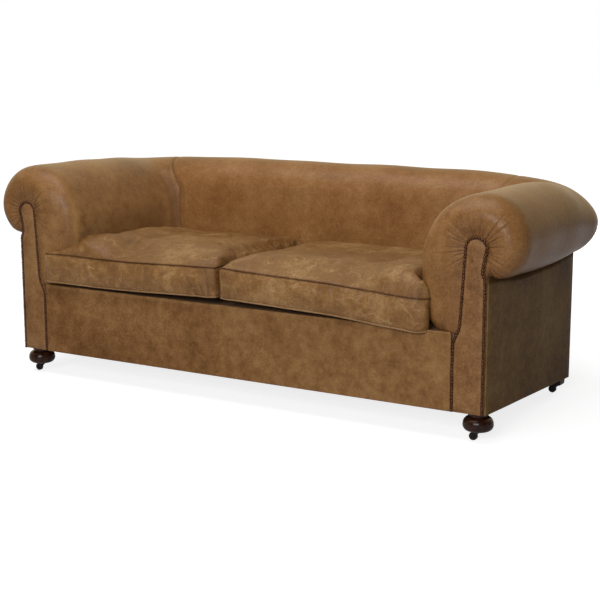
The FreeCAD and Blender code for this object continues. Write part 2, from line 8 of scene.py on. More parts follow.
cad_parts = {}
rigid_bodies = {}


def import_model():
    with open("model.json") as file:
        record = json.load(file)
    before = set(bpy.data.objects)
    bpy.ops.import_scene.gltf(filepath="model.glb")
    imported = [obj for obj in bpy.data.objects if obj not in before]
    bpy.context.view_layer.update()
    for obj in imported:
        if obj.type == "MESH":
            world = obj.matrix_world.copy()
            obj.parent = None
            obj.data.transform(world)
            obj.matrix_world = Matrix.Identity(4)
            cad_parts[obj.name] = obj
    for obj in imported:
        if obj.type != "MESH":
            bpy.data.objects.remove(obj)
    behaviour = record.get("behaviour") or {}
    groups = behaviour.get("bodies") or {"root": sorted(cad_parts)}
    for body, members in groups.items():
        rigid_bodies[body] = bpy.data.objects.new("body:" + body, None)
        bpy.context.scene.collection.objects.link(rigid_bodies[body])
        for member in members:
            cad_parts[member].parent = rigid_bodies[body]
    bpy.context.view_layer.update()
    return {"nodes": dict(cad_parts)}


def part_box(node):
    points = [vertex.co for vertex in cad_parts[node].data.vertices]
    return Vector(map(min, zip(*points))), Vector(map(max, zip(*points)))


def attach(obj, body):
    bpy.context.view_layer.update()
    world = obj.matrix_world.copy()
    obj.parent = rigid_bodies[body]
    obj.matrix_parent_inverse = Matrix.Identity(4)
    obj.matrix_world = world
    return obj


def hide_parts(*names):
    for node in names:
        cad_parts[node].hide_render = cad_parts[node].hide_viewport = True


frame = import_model()
nodes = frame["nodes"]
body = "sofa"
print("frame loaded", len(nodes), "nodes")

scene = bpy.context.scene
scene.view_settings.view_transform = "Standard"

# places shared by the pieces, in metres, as the frame has them
frontPlane = -0.391
rearPlane = 0.317
platformTop = 0.319
baseFront = 0.088
baseRear = 0.050
cornerX, cornerY = 0.749, 0.196
arch = (0.833, 0.570)  # middle of a facing's arch, x and z
padFront = -0.3828
sides = (("left", -1), ("right", 1))
mergeGap = 0.00002  # points closer than this are one
touch = 0.001  # points closer than this lie on a face
swellWaves, swellGain = 7, 1.6


def baseAt(y):
    return baseFront - (y - frontPlane) * (baseFront - baseRear) / (rearPlane - frontPlane)


# work on one object at a time
def only(*pieces):
    if bpy.context.object and bpy.context.object.mode != "OBJECT":
        bpy.ops.object.mode_set(mode="OBJECT")
    bpy.ops.object.select_all(action="DESELECT")
    for piece in pieces:
        piece.select_set(True)
    bpy.context.view_layer.objects.active = pieces[0]


def inEdit(piece, mode="FACE"):
    only(piece)
    bpy.ops.object.mode_set(mode="EDIT")
    bpy.ops.mesh.select_mode(type=mode)
    bpy.ops.mesh.select_all(action="SELECT")


def editMode():
    bpy.ops.object.mode_set(mode="EDIT")


def objectMode():
    bpy.ops.object.mode_set(mode="OBJECT")


# nothing picked, so that faces, edges or points can be picked in code
def clearPicks(piece, mode="FACE"):
    inEdit(piece, mode)
    bpy.ops.mesh.select_all(action="DESELECT")
    objectMode()


def copyNode(node, name):
    piece = bpy.data.objects.new(name, nodes[node].data.copy())
    scene.collection.objects.link(piece)
    piece.data.materials.clear()
    inEdit(piece, "VERT")
    bpy.ops.mesh.remove_doubles(threshold=mergeGap)
    objectMode()
    return piece


# the primitive just added, with its place in its mesh
def placed():
    bpy.ops.object.transform_apply(location=True, rotation=True, scale=True)
    return bpy.context.object


def addCube(low, high):
    bpy.ops.object.select_all(action="DESELECT")
    middle = [(a + b) / 2 for a, b in zip(low, high)]
    bpy.ops.mesh.primitive_cube_add(size=1, location=middle, scale=[b - a for a, b in zip(low, high)])
    return placed()


def addDrum(x, y, radius, low, high):
    bpy.ops.object.select_all(action="DESELECT")
    bpy.ops.mesh.primitive_cylinder_add(vertices=64, radius=radius, depth=high - low,
                                        location=(x, y, (low + high) / 2))
    return placed()


def finishModifier(piece, modifier):
    only(piece)
    bpy.ops.object.modifier_apply(modifier=modifier.name)


def voxelSkin(piece, size):
    skin = piece.modifiers.new("skin", "REMESH")
    skin.mode = "VOXEL"
    skin.voxel_size = size
    finishModifier(piece, skin)


def weighted(piece, weights, least):
    group = piece.vertex_groups.new(name="weighted")
    for index in np.nonzero(weights > least)[0]:
        group.add([int(index)], float(weights[index]), "REPLACE")
    return group.name


# smoothed all over, or only as far as the weights say
def ease(piece, steps, weights=None, heightOnly=False):
    soft = piece.modifiers.new("ease", "SMOOTH")
    soft.factor = 0.5
    soft.iterations = steps
    soft.use_x = soft.use_y = not heightOnly
    if weights is not None:
        soft.vertex_group = weighted(piece, weights, least=0.02)
    finishModifier(piece, soft)
    piece.vertex_groups.clear()


def rounder(piece, levels):
    fine = piece.modifiers.new("rounder", "SUBSURF")
    fine.levels = levels
    fine.render_levels = levels
    finishModifier(piece, fine)


def pointsOf(piece, key="co"):
    flat = np.empty(len(piece.data.vertices) * 3)
    piece.data.vertices.foreach_get(key, flat)
    return flat.reshape(-1, 3)


def normalsOf(piece):
    return pointsOf(piece, "normal")


def setPoints(piece, where):
    piece.data.vertices.foreach_set("co", np.ascontiguousarray(where, dtype=np.float32).ravel())
    piece.data.update()


def smoothStep(low, high, value):
    t = np.clip((value - low) / (high - low), 0, 1)
    return t * t * (3 - 2 * t)


def bell(value, middle, reach):
    return np.exp(-((value - middle) / reach) ** 2)


# how far points are from a spot in plan, or as seen from the front with axis 2
def awayFrom(where, spot, axis=1):
    return np.hypot(where[:, 0] - spot[0], where[:, axis] - spot[1])


# slow swells that take the machined look off a hide surface
def slowSwell(where, size, seed):
    rng = random.Random(seed)
    total = np.zeros(len(where))
    for wave in range(swellWaves):
        way = np.array([rng.gauss(0, 1), rng.gauss(0, 1), rng.gauss(0, 1)])
        way = way / np.linalg.norm(way) * (2 * math.pi / size) * rng.uniform(0.6, 1.5)
        total += np.sin(where @ way + rng.uniform(0, 2 * math.pi))
    return total / swellWaves * swellGain


def mark(piece, name, values):
    spot = piece.data.attributes.new(name, "FLOAT", "POINT")
    spot.data.foreach_set("value", np.ascontiguousarray(values, dtype=np.float32))


def readMark(piece, name):
    values = np.empty(len(piece.data.vertices))
    piece.data.attributes[name].data.foreach_get("value", values)
    return values


def smoothShade(piece, angle=None):
    only(piece)
    if angle is None:
        bpy.ops.object.shade_smooth()
    else:
        bpy.ops.object.shade_smooth_by_angle(angle=math.radians(angle))


# node helpers
def node(tree, kind, **settings):
    made = tree.nodes.new(kind)
    for key, value in settings.items():
        if key in made.inputs:
            made.inputs[key].default_value = value
        else:
            setattr(made, key, value)
    return made


def join(tree, start, startName, end, endName):
    tree.links.new(start.outputs[startName], end.inputs[endName])


def mathNode(tree, operation, first, second, clamp=False):
    made = tree.nodes.new("ShaderNodeMath")
    made.operation = operation
    made.use_clamp = clamp
    for index, value in enumerate((first, second)):
        if isinstance(value, (int, float)):
            made.inputs[index].default_value = value
        else:
            tree.links.new(value, made.inputs[index])
    return made.outputs[0]


def mixNode(tree, share, first, second):
    made = tree.nodes.new("ShaderNodeMix")
    made.data_type = "RGBA"
    for socket, value in ((made.inputs[0], share), (made.inputs[6], first), (made.inputs[7], second)):
        if isinstance(value, bpy.types.NodeSocket):
            tree.links.new(value, socket)
        else:
            socket.default_value = value
    return made.outputs[2]


def remap(tree, value, low, high, newLow=0.0, newHigh=1.0):
    made = tree.nodes.new("ShaderNodeMapRange")
    tree.links.new(value, made.inputs[0])
    for index, number in enumerate((low, high, newLow, newHigh)):
        made.inputs[index + 1].default_value = number
    return made.outputs[0]


def newGroup(name, inputs, outputs):
    group = bpy.data.node_groups.new(name, "ShaderNodeTree")
    for socketName, kind, value in inputs:
        socket = group.interface.new_socket(socketName, in_out="INPUT", socket_type=kind)
        if value is not None:
            socket.default_value = value
    for socketName, kind in outputs:
        group.interface.new_socket(socketName, in_out="OUTPUT", socket_type=kind)
    return group, group.nodes.new("NodeGroupInput"), group.nodes.new("NodeGroupOutput")


# tone and grain of a waxed old hide
def buildHideGroup():
    group, take, give = newGroup(
        "agedHide",
        [("Place", "NodeSocketVector", None), ("Deep", "NodeSocketColor", (0.09, 0.035, 0.012, 1)),
         ("Tan", "NodeSocketColor", (0.2, 0.1, 0.04, 1)), ("Pale", "NodeSocketColor", (0.3, 0.18, 0.09, 1)),
         ("Cloud", "NodeSocketFloat", 0.9), ("Blotch", "NodeSocketFloat", 0.8),
         ("Speckle", "NodeSocketFloat", 0.5), ("Scuff", "NodeSocketFloat", 0.3),
         ("CreaseShade", "NodeSocketFloat", 0.0), ("WearAndLight", "NodeSocketFloat", 0.0),
         ("Shine", "NodeSocketFloat", 0.42)],
        [("Tone", "NodeSocketColor"), ("Roughness", "NodeSocketFloat"), ("Height", "NodeSocketFloat")])
    place = take.outputs["Place"]

    def field(kind, scale, **settings):
        made = node(group, kind, **settings)
        made.inputs["Scale"].default_value = scale
        group.links.new(place, made.inputs["Vector"])
        return made

    cloud = field("ShaderNodeTexNoise", 5.5, Detail=3.0, Roughness=0.5).outputs[0]
    blotch = field("ShaderNodeTexNoise", 30.0, Detail=6.0, Roughness=0.68).outputs[0]
    speckle = field("ShaderNodeTexNoise", 150.0, Detail=3.0, Roughness=0.65).outputs[0]
    pebble = field("ShaderNodeTexVoronoi", 330.0, feature="SMOOTH_F1").outputs["Distance"]
    bend = field("ShaderNodeTexNoise", 9.0, Detail=4.0, Roughness=0.6)
    bent = node(group, "ShaderNodeVectorMath", operation="MULTIPLY_ADD")
    group.links.new(bend.outputs["Color"], bent.inputs[0])
    bent.inputs[1].default_value = (0.11, 0.11, 0.11)
    group.links.new(place, bent.inputs[2])
    crack = node(group, "ShaderNodeTexVoronoi", feature="DISTANCE_TO_EDGE")
    crack.inputs["Scale"].default_value = 17.0
    group.links.new(bent.outputs[0], crack.inputs["Vector"])
    line = remap(group, crack.outputs["Distance"], 0.0, 0.035, 1.0, 0.0)
    broken = remap(group, field("ShaderNodeTexNoise", 22.0, Detail=3.0).outputs[0], 0.5, 0.62)
    scuff = mathNode(group, "MULTIPLY", mathNode(group, "MULTIPLY", line, broken), take.outputs["Scuff"])
    level = mathNode(group, "MULTIPLY", mathNode(group, "SUBTRACT", cloud, 0.5), take.outputs["Cloud"])
    for grain, strength in ((blotch, "Blotch"), (speckle, "Speckle")):
        part = mathNode(group, "MULTIPLY", mathNode(group, "SUBTRACT", grain, 0.5), take.outputs[strength])
        level = mathNode(group, "ADD", level, part)
    level = mathNode(group, "ADD", level, 0.5)
    darker = remap(group, level, 0.0, 0.5)
    paler = remap(group, level, 0.5, 1.0)
    tone = mixNode(group, darker, take.outputs["Deep"], take.outputs["Tan"])
    tone = mixNode(group, paler, tone, take.outputs["Pale"])
    tone = mixNode(group, scuff, tone, take.outputs["Pale"])
    # the wear mark pales the hide, for rubbed places and for painted bounce light on the inner arms
    rubbed = mathNode(group, "MULTIPLY", take.outputs["WearAndLight"], remap(group, blotch, 0.35, 0.65, 0.4, 1.2), True)
    tone = mixNode(group, rubbed, tone, take.outputs["Pale"])
    # painted shade: the crease mark darkens the hide towards Deep in creases, seams and corners
    tone = mixNode(group, take.outputs["CreaseShade"], tone, take.outputs["Deep"])
    group.links.new(tone, give.inputs["Tone"])
    dull = mathNode(group, "MULTIPLY", mathNode(group, "SUBTRACT", blotch, 0.5), 0.3)
    dull = mathNode(group, "ADD", mathNode(group, "ADD", dull, take.outputs["Shine"]),
                    mathNode(group, "MULTIPLY", scuff, 0.15))
    dull = mathNode(group, "ADD", dull, mathNode(group, "MULTIPLY", take.outputs["CreaseShade"], 0.5))
    group.links.new(dull, give.inputs["Roughness"])
    lift = mathNode(group, "MULTIPLY", pebble, 0.5)
    lift = mathNode(group, "ADD", lift, mathNode(group, "MULTIPLY", speckle, 0.35))
    lift = mathNode(group, "ADD", lift, mathNode(group, "MULTIPLY", blotch, 0.9))
    lift = mathNode(group, "SUBTRACT", lift, mathNode(group, "MULTIPLY", scuff, 0.8))
    lift = mathNode(group, "SUBTRACT", lift, mathNode(group, "MULTIPLY", take.outputs["CreaseShade"], 1.2))
    group.links.new(lift, give.inputs["Height"])
    return group


hideGroup = buildHideGroup()

hideTones = {
    "arm": {"Deep": (0.085, 0.032, 0.008, 1), "Tan": (0.208, 0.095, 0.031, 1), "Pale": (0.33, 0.176, 0.066, 1),
            "Cloud": 0.9, "Blotch": 0.75, "Speckle": 0.8, "Scuff": 0.06, "Shine": 0.36},
    "back": {"Deep": (0.095, 0.034, 0.007, 1), "Tan": (0.226, 0.100, 0.030, 1), "Pale": (0.33, 0.185, 0.075, 1),
             "Cloud": 0.8, "Blotch": 0.7, "Speckle": 0.75, "Scuff": 0.06, "Shine": 0.40},
    "cushion": {"Deep": (0.085, 0.033, 0.007, 1), "Tan": (0.190, 0.086, 0.025, 1),
                "Pale": (0.37, 0.225, 0.094, 1), "Cloud": 0.9, "Blotch": 0.95, "Speckle": 0.8,
                "Scuff": 0.9, "Shine": 0.43},
    "panel": {"Deep": (0.075, 0.030, 0.008, 1), "Tan": (0.205, 0.095, 0.033, 1), "Pale": (0.30, 0.17, 0.07, 1),
              "Cloud": 1.15, "Blotch": 1.05, "Speckle": 0.95, "Scuff": 0.10, "Shine": 0.48},
    "border": {"Deep": (0.070, 0.026, 0.007, 1), "Tan": (0.172, 0.077, 0.026, 1),
               "Pale": (0.31, 0.17, 0.068, 1), "Cloud": 1.15, "Blotch": 1.05, "Speckle": 0.95,
               "Scuff": 0.10, "Shine": 0.48},
    "side": {"Deep": (0.055, 0.025, 0.008, 1), "Tan": (0.152, 0.077, 0.022, 1), "Pale": (0.23, 0.14, 0.055, 1),
             "Cloud": 1.2, "Blotch": 1.4, "Speckle": 1.2, "Scuff": 0.08, "Shine": 0.5},
    "welt": {"Deep": (0.03, 0.011, 0.004, 1), "Tan": (0.085, 0.036, 0.012, 1), "Pale": (0.20, 0.11, 0.05, 1),
             "Cloud": 0.8, "Blotch": 0.9, "Speckle": 0.5, "Scuff": 0.1, "Shine": 0.5},
    "rubbed": {"Deep": (0.13, 0.062, 0.024, 1), "Tan": (0.26, 0.145, 0.066, 1), "Pale": (0.36, 0.23, 0.12, 1),
               "Cloud": 0.8, "Blotch": 0.9, "Speckle": 0.5, "Scuff": 0.1, "Shine": 0.5},
}


# a finish that takes its tone, roughness and height from a group
def groupMaterial(name, group, values, gloss, strength, lift, stretch=None):
    material = bpy.data.materials.new(name)
    material.use_nodes = True
    tree = material.node_tree
    shader = tree.nodes["Principled BSDF"]
    shader.inputs["Specular IOR Level"].default_value = gloss
    field = tree.nodes.new("ShaderNodeGroup")
    field.node_tree = group
    for key, value in values.items():
        field.inputs[key].default_value = value
    where, output = tree.nodes.new("ShaderNodeTexCoord"), "Object"
    if stretch:
        turn = node(tree, "ShaderNodeMapping", Scale=stretch)
        join(tree, where, output, turn, "Vector")
        where, output = turn, "Vector"
    join(tree, where, output, field, "Place")
    bump = node(tree, "ShaderNodeBump", Strength=strength, Distance=lift)
    join(tree, field, "Height", bump, "Height")
    join(tree, field, "Tone", shader, "Base Color")
    join(tree, field, "Roughness", shader, "Roughness")
    join(tree, bump, "Normal", shader, "Normal")
    return material, shader, field


def hideMaterial(name, kind, marks, gloss):
    material, shader, hide = groupMaterial(name, hideGroup, hideTones[kind], gloss, strength=0.5, lift=0.0016)
    for key in marks:
        spot = node(material.node_tree, "ShaderNodeAttribute", attribute_name=key.lower())
        join(material.node_tree, spot, "Fac", hide, key)
    return material


armHide = hideMaterial("armHide", "arm", ("CreaseShade", "WearAndLight"), 0.2)
backHide = hideMaterial("backHide", "back", ("CreaseShade", "WearAndLight"), 0.24)
cushionHide = hideMaterial("cushionHide", "cushion", ("CreaseShade", "WearAndLight"), 0.24)
facingHide = hideMaterial("facingHide", "panel", ("WearAndLight",), 0.2)
borderHide = hideMaterial("borderHide", "border", ("WearAndLight",), 0.06)
# the outside panels take the darkest tone, partly their own darker hide and partly painted shade of the sides
# turned from the lamps
sideHide = hideMaterial("sideHide", "side", ("CreaseShade", "WearAndLight"), 0.06)
# the welts take a dark copy of the hide, painted shade of the crease they sit in, and the lower ones a paler
# copy, painted light on a rubbed edge
shadedWeltHide = hideMaterial("shadedWeltHide", "welt", (), 0.12)
rubbedLitWelt = hideMaterial("rubbedLitWelt", "rubbed", (), 0.15)


# streaked timber, cloth and metal share one plain field
def buildStreakGroup():
    group, take, give = newGroup(
        "streakField",
        [("Place", "NodeSocketVector", None), ("Scale", "NodeSocketFloat", 60.0),
         ("Deep", "NodeSocketColor", (0.02, 0.008, 0.004, 1)),
         ("Pale", "NodeSocketColor", (0.08, 0.03, 0.012, 1)),
         ("Dull", "NodeSocketFloat", 0.3), ("Spread", "NodeSocketFloat", 0.2)],
        [("Tone", "NodeSocketColor"), ("Roughness", "NodeSocketFloat"), ("Height", "NodeSocketFloat")])
    streak = node(group, "ShaderNodeTexNoise", Detail=6.0, Roughness=0.6)
    group.links.new(take.outputs["Place"], streak.inputs["Vector"])
    group.links.new(take.outputs["Scale"], streak.inputs["Scale"])
    share = remap(group, streak.outputs[0], 0.3, 0.7)
    group.links.new(mixNode(group, share, take.outputs["Deep"], take.outputs["Pale"]), give.inputs["Tone"])
    spread = mathNode(group, "MULTIPLY", share, take.outputs["Spread"])
    group.links.new(mathNode(group, "ADD", spread, take.outputs["Dull"]), give.inputs["Roughness"])
    group.links.new(share, give.inputs["Height"])
    return group


streakGroup = buildStreakGroup()


def streakMaterial(name, stretch, scale, deep, pale, dull, spread, lift, metal=0.0):
    values = {"Scale": scale, "Deep": deep, "Pale": pale, "Dull": dull, "Spread": spread}
    material, shader, field = groupMaterial(name, streakGroup, values, gloss=0.25, strength=0.4,
                                            lift=lift, stretch=stretch)
    shader.inputs["Metallic"].default_value = metal
    return material


# stretch, scale, deep and pale tones, dullness, its spread and the lift of the grain
footWood = streakMaterial("footWood", (1, 1, 0.25), 70.0, (0.008, 0.0025, 0.0015, 1), (0.04, 0.012, 0.005, 1),
                          0.16, 0.15, 0.0002)
legWood = streakMaterial("legWood", (1, 1, 0.2), 60.0, (0.006, 0.004, 0.003, 1), (0.02, 0.012, 0.008, 1),
                         0.3, 0.2, 0.0003)
frameTimber = streakMaterial("frameTimber", (0.15, 1, 1), 50.0, (0.28, 0.17, 0.08, 1), (0.48, 0.33, 0.18, 1),
                             0.6, 0.2, 0.0004)
webbing = streakMaterial("webbing", (1, 1, 1), 420.0, (0.16, 0.11, 0.06, 1), (0.34, 0.26, 0.16, 1),
                         0.8, 0.1, 0.0006)
dustCloth = streakMaterial("dustCloth", (1, 1, 1), 500.0, (0.008, 0.008, 0.009, 1), (0.03, 0.03, 0.032, 1),
                           0.85, 0.1, 0.0004)
liningCloth = streakMaterial("liningCloth", (1, 1, 1), 380.0, (0.11, 0.06, 0.03, 1), (0.19, 0.115, 0.06, 1),
                             0.8, 0.12, 0.0005)
nailBrass = streakMaterial("nailBrass", (1, 1, 1), 300.0, (0.02, 0.008, 0.005, 1), (0.15, 0.07, 0.04, 1),
                           0.28, 0.25, 0.0002, metal=1.0)
castorMetal = streakMaterial("castorMetal", (1, 1, 1), 240.0, (0.008, 0.008, 0.008, 1), (0.05, 0.047, 0.042, 1),
                             0.3, 0.3, 0.0002, metal=1.0)
castorWheel = streakMaterial("castorWheel", (1, 1, 1), 200.0, (0.006, 0.006, 0.006, 1), (0.022, 0.02, 0.019, 1),
                             0.35, 0.25, 0.0003)
print("finishes made")


def dress(piece, material, slotName, rideOn, *replaced):
    piece.data.materials.clear()
    piece.data.materials.append(material)
    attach(piece, rideOn)
    if replaced:
        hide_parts(*replaced)


# nearest-spot finder along flat lines
def lineTree(lines, step):
    spots = []
    for (x, y), (endX, endY) in lines:
        count = max(1, int(math.hypot(endX - x, endY - y) / step))
        spots += [(x + (endX - x) * s / count, y + (endY - y) * s / count, 0) for s in range(count)]
    tree = kdtree.KDTree(len(spots))
    for index, spot in enumerate(spots):
        tree.insert(spot, index)
    tree.balance()
    return tree


def gapTo(tree, where, axis):
    return np.array([tree.find((p[0], p[axis], 0))[2] for p in where])


# outline of a facing, as seen from the front
def facingRim(sideName):
    sample = copyNode(sideName + "_facing", sideName + "FacingRim")
    used = {}
    for face in sample.data.polygons:
        if abs(face.normal.y + 1) < 0.01:
            for key in face.edge_keys:
                used[key] = used.get(key, 0) + 1
    flat = [(point.co.x, point.co.z) for point in sample.data.vertices]
    lines = [(flat[i], flat[j]) for (i, j), count in used.items() if count == 1]
    bpy.data.objects.remove(sample)
    return lineTree(lines, step=0.003), lines


rims = {sideName: facingRim(sideName) for sideName, side in sides}


def rimGap(where, sideName):
    return gapTo(rims[sideName][0], where, 2)


def behindFacing(where, sideName):
    x, z = where[:, 0], where[:, 2]
    inside = np.zeros(len(where), dtype=bool)
    for (startX, startZ), (endX, endZ) in rims[sideName][1]:
        if startZ != endZ:
            crosses = (startZ > z) != (endZ > z)
            inside ^= crosses & (x < (endX - startX) * (z - startZ) / (endZ - startZ) + startX)
    return inside


# rolled arms and back: the three pads filled and skinned as one, shaped, then cut apart at their seams
# a pair named for an axis is where an effect starts and where it is full, and 1 and -1 are right and left
rolls = {
    "voxel": 0.0058, "cover": 0.0027, "overlap": 0.008, "endReach": 0.004, "easeSteps": 8,
    "swell": 0.0022, "swellSize": 0.23, "swellSeed": 11,
    "swellZ": (0.49, 0.53), "swellInX": 0.80, "swellInY": 0.25,
    # hollow corners, noses and shoulders smoothed
    "cornerEase": 0.085, "cornerSteps": 70, "cornerFoot": (0.648, 0.190), "cornerLean": (0.14, 0.06),
    "cornerLeanX": (0.55, 0.72), "cornerLeanY": (0.60, 0.72),
    "hollowEase": 0.11, "hollowSteps": 220, "hollowSpot": (0.640, 0.190),
    "hollowZ": (0.44, 0.50), "hollowEndZ": (0.63, 0.70),
    "frontEase": 0.050, "frontSteps": 12, "noseSpot": (0.652, -0.368), "noseTop": 0.66,
    "shoulderSteps": 36, "shoulderReach": (0.085, 0.130),
    "shoulderY": (-0.29, -0.36), "shoulderZ": (0.47, 0.53),
    # crest lowered round the rear corners
    "dip": {1: 0.022, -1: 0.015}, "dipReach": 0.20, "dipSpot": (0.84, 0.335),
    "rearDip": {1: 0.026, -1: 0.0}, "rearReach": 0.13, "rearSpot": (0.96, 0.24), "dipZ": (0.50, 0.70),
    # fronts meshed closer round the facings
    "closeY": -0.315, "closeX": 0.745, "closeFoot": 0.32, "closeReach": 0.172, "closeZ": 0.47, "closeCuts": 2,
    # slack hanging under the rolls
    "underSag": 0.008, "underFront": 0.002, "underBelly": 0.011, "bellyY": -0.04, "bellyReach": 0.20,
    "pastX": (0.870, 0.880), "pastY": (0.319, 0.339), "underZ": (0.50, 0.60), "underY": (-0.25, 0.12),
    "armX": (0.86, 0.88),
    # fronts puffed past the nails that hold them, and tucked back at the foot
    "frontY": (-0.335, -0.365), "puff": 0.0085, "atNails": 0.0045, "innerPuff": 0.003, "highPuff": 0.011,
    "innerX": (0.770, 0.725), "innerEndZ": (0.56, 0.62), "overCushionZ": (0.465, 0.515),
    "puffGap": (0.0, 0.034), "puffEndGap": (0.05, 0.11), "sunk": 0.008,
    "tuck": 0.018, "tuckX": (0.775, 0.690), "tuckEndZ": (0.318, 0.356), "tuckY": (-0.30, -0.36),
    # gathers round the arch of a facing
    "pleats": 25, "pleatDeep": 0.0024, "pleatWide": 0.0014, "pleatFrom": -46, "pleatTo": 214,
    "pleatSeed": {1: 5, -1: 8}, "pleatAside": 0.34, "pleatEnd": (0.085, 0.165), "pleatStrong": (0.45, 1.0),
    "pleatLean": 40, "pleatRoot": 0.04, "pleatFade": 0.050, "pleatFlare": (0.8, 4),
    "pleatGap": (0.030, 0.042), "pleatY": (-0.318, -0.345),
    # seams to the back drawn in, with a slack fold beside the left one
    "seamDip": {1: 0.0016, -1: 0.0036}, "seamReach": 0.007, "foldDip": 0.0016, "foldGap": 0.014,
    "foldReach": 0.004, "foldEndZ": (0.62, 0.68), "rearY": 0.05, "cutReach": 0.02, "cutOver": 0.003,
    # painted shade in the corners, seams and gathers, rubbed shoulders, and painted bounce light on the inner
    # arms
    "seamShade": {1: 0.25, -1: 0.6}, "foldShade": 0.35, "bendShade": 0.5, "pleatShade": 0.85,
    "insideX": (0.77, 0.72), "bendTurn": (0.12, 0.45), "bendEndTurn": (0.84, 0.98), "bendLevel": (0.35, 0.85),
    "bendEndZ": (0.62, 0.70),
    "rubAt": 0.128, "rubReach": 0.016, "rubY": (-0.30, -0.34), "rub": {1: 0.2, -1: 0.35},
    "rubSize": 0.07, "rubSeed": 61,
    "bounceTurn": (0.6, 0.95), "bounceY": (-0.30, 0.12), "bounceFade": 0.55, "bounceEndZ": (0.56, 0.66),
}
fillLow, fillHigh, fillFront, fillRear, cornerFill = 0.320, 0.6035, 0.242, 0.3092, 0.1132
backFill = ((-0.610, fillFront, fillLow), (0.610, fillRear, fillHigh))
armFill = (((0.795, -0.3535, fillLow), (0.862, 0.250, fillHigh)),
           ((0.600, fillFront, fillLow), (0.790, fillRear, fillHigh)),
           ((0.790, -0.3796, fillLow), (0.8590, -0.3480, 0.592)))
seamLow, seamTurn, seamLean = 0.604, 0.610, 0.076 / 0.112


def seamAt(z):
    return seamLow + np.maximum(z - seamTurn, 0) * seamLean


def bySide(onRight, key):
    return np.where(onRight, rolls[key][1], rolls[key][-1])


def rise(key, value):
    return smoothStep(*rolls[key], value)


# crest a little lower round the rear corners, on the arms and on the back alike
def cornerDip(where, right):
    onRight = where[:, 0] > 0
    deep = bySide(onRight, "dip") * bell(awayFrom(right, rolls["dipSpot"]), 0, rolls["dipReach"])
    deep += bySide(onRight, "rearDip") * bell(awayFrom(right, rolls["rearSpot"]), 0, rolls["rearReach"])
    return deep * rise("dipZ", where[:, 2])


# weight round the hollow corner between an arm and the back
def hollowCorner(right):
    middleX = rolls["cornerFoot"][0] + rolls["cornerLean"][0] * rise("cornerLeanX", right[:, 2])
    middleY = rolls["cornerFoot"][1] + rolls["cornerLean"][1] * rise("cornerLeanY", right[:, 2])
    return bell(awayFrom(right, (middleX, middleY)), 0, rolls["cornerEase"])


def fillPads():
    piece = copyNode("back_pad", "backHide")
    where = pointsOf(piece)
    atEnd = np.abs(where[:, 0]) > seamAt(where[:, 2]) - rolls["endReach"]
    where[:, 0] += np.sign(where[:, 0]) * atEnd * rolls["overlap"]
    setPoints(piece, where)
    parts = [piece, addCube(*backFill)]
    for sideName, side in sides:
        parts.append(copyNode(sideName + "_arm_pad", sideName + "Fill"))
        for low, high in armFill:
            xs = sorted((low[0] * side, high[0] * side))
            parts.append(addCube((xs[0], *low[1:]), (xs[1], *high[1:])))
        parts.append(addDrum(cornerX * side, cornerY, cornerFill, fillLow, fillHigh))
    only(*parts)
    bpy.ops.object.join()
    voxelSkin(piece, rolls["voxel"])
    # only the outer shell is kept
    clearPicks(piece, "VERT")
    piece.data.vertices[int(np.argmax(pointsOf(piece)[:, 2]))].select = True
    editMode()
    bpy.ops.mesh.select_linked()
    bpy.ops.mesh.select_all(action="INVERT")
    bpy.ops.mesh.delete(type="VERT")
    objectMode()
    return piece


def smoothPads(piece):
    ease(piece, rolls["easeSteps"])
    right = pointsOf(piece)
    right[:, 0] = np.abs(right[:, 0])
    y, z = right[:, 1], right[:, 2]
    ease(piece, rolls["cornerSteps"], hollowCorner(right))
    hollow = bell(awayFrom(right, rolls["hollowSpot"]), 0, rolls["hollowEase"])
    ease(piece, rolls["hollowSteps"], hollow * rise("hollowZ", z) * (1 - rise("hollowEndZ", z)))
    nose = bell(awayFrom(right, rolls["noseSpot"]), 0, rolls["frontEase"])
    ease(piece, rolls["frontSteps"], nose * (z < rolls["noseTop"]))
    shoulder = rise("shoulderReach", awayFrom(right, arch, 2))
    ease(piece, rolls["shoulderSteps"], shoulder * rise("shoulderY", y) * rise("shoulderZ", z))
    setPoints(piece, pointsOf(piece) + normalsOf(piece) * rolls["cover"])
    # closer mesh where the fronts are gathered round the facings
    clearPicks(piece)
    for face in piece.data.polygons:
        middle = face.center
        beside = abs(middle.x) > rolls["closeX"] and middle.z > rolls["closeFoot"]
        reach = math.hypot(abs(middle.x) - arch[0], middle.z - arch[1])
        around = reach < rolls["closeReach"] and middle.z > rolls["closeZ"]
        face.select = middle.y < rolls["closeY"] and (beside or around)
    editMode()
    bpy.ops.mesh.subdivide(number_cuts=rolls["closeCuts"], smoothness=0.0)
    objectMode()
    ease(piece, 2)


# gathers round the arch of a facing, deepest at the nails
def gathers(right, seed):
    rng = random.Random(seed)
    reach = awayFrom(right, arch, 2)
    turn = np.degrees(np.arctan2(right[:, 2] - arch[1], right[:, 0] - arch[0]))
    turn = np.where(turn < -90, turn + 360, turn)
    gather = np.zeros(len(right))
    span = (rolls["pleatTo"] - rolls["pleatFrom"]) / (rolls["pleats"] - 1)
    for index in range(rolls["pleats"]):
        aside = rng.uniform(-rolls["pleatAside"], rolls["pleatAside"])
        angle = rolls["pleatFrom"] + span * index + aside * span
        end = rng.uniform(*rolls["pleatEnd"])
        strong = rng.uniform(*rolls["pleatStrong"])
        lean = rng.uniform(-rolls["pleatLean"], rolls["pleatLean"])
        across = np.radians(np.abs(turn - angle - lean * (reach - rolls["pleatRoot"]))) * reach
        flare = rolls["pleatFlare"][0] + reach * rolls["pleatFlare"][1]
        valley = bell(across, 0, rolls["pleatWide"] * flare)
        along = rise("pleatGap", reach) * (1 - smoothStep(rolls["pleatFade"], end, reach))
        gather = np.maximum(gather, valley * along * strong)
    return gather * rise("pleatY", right[:, 1])


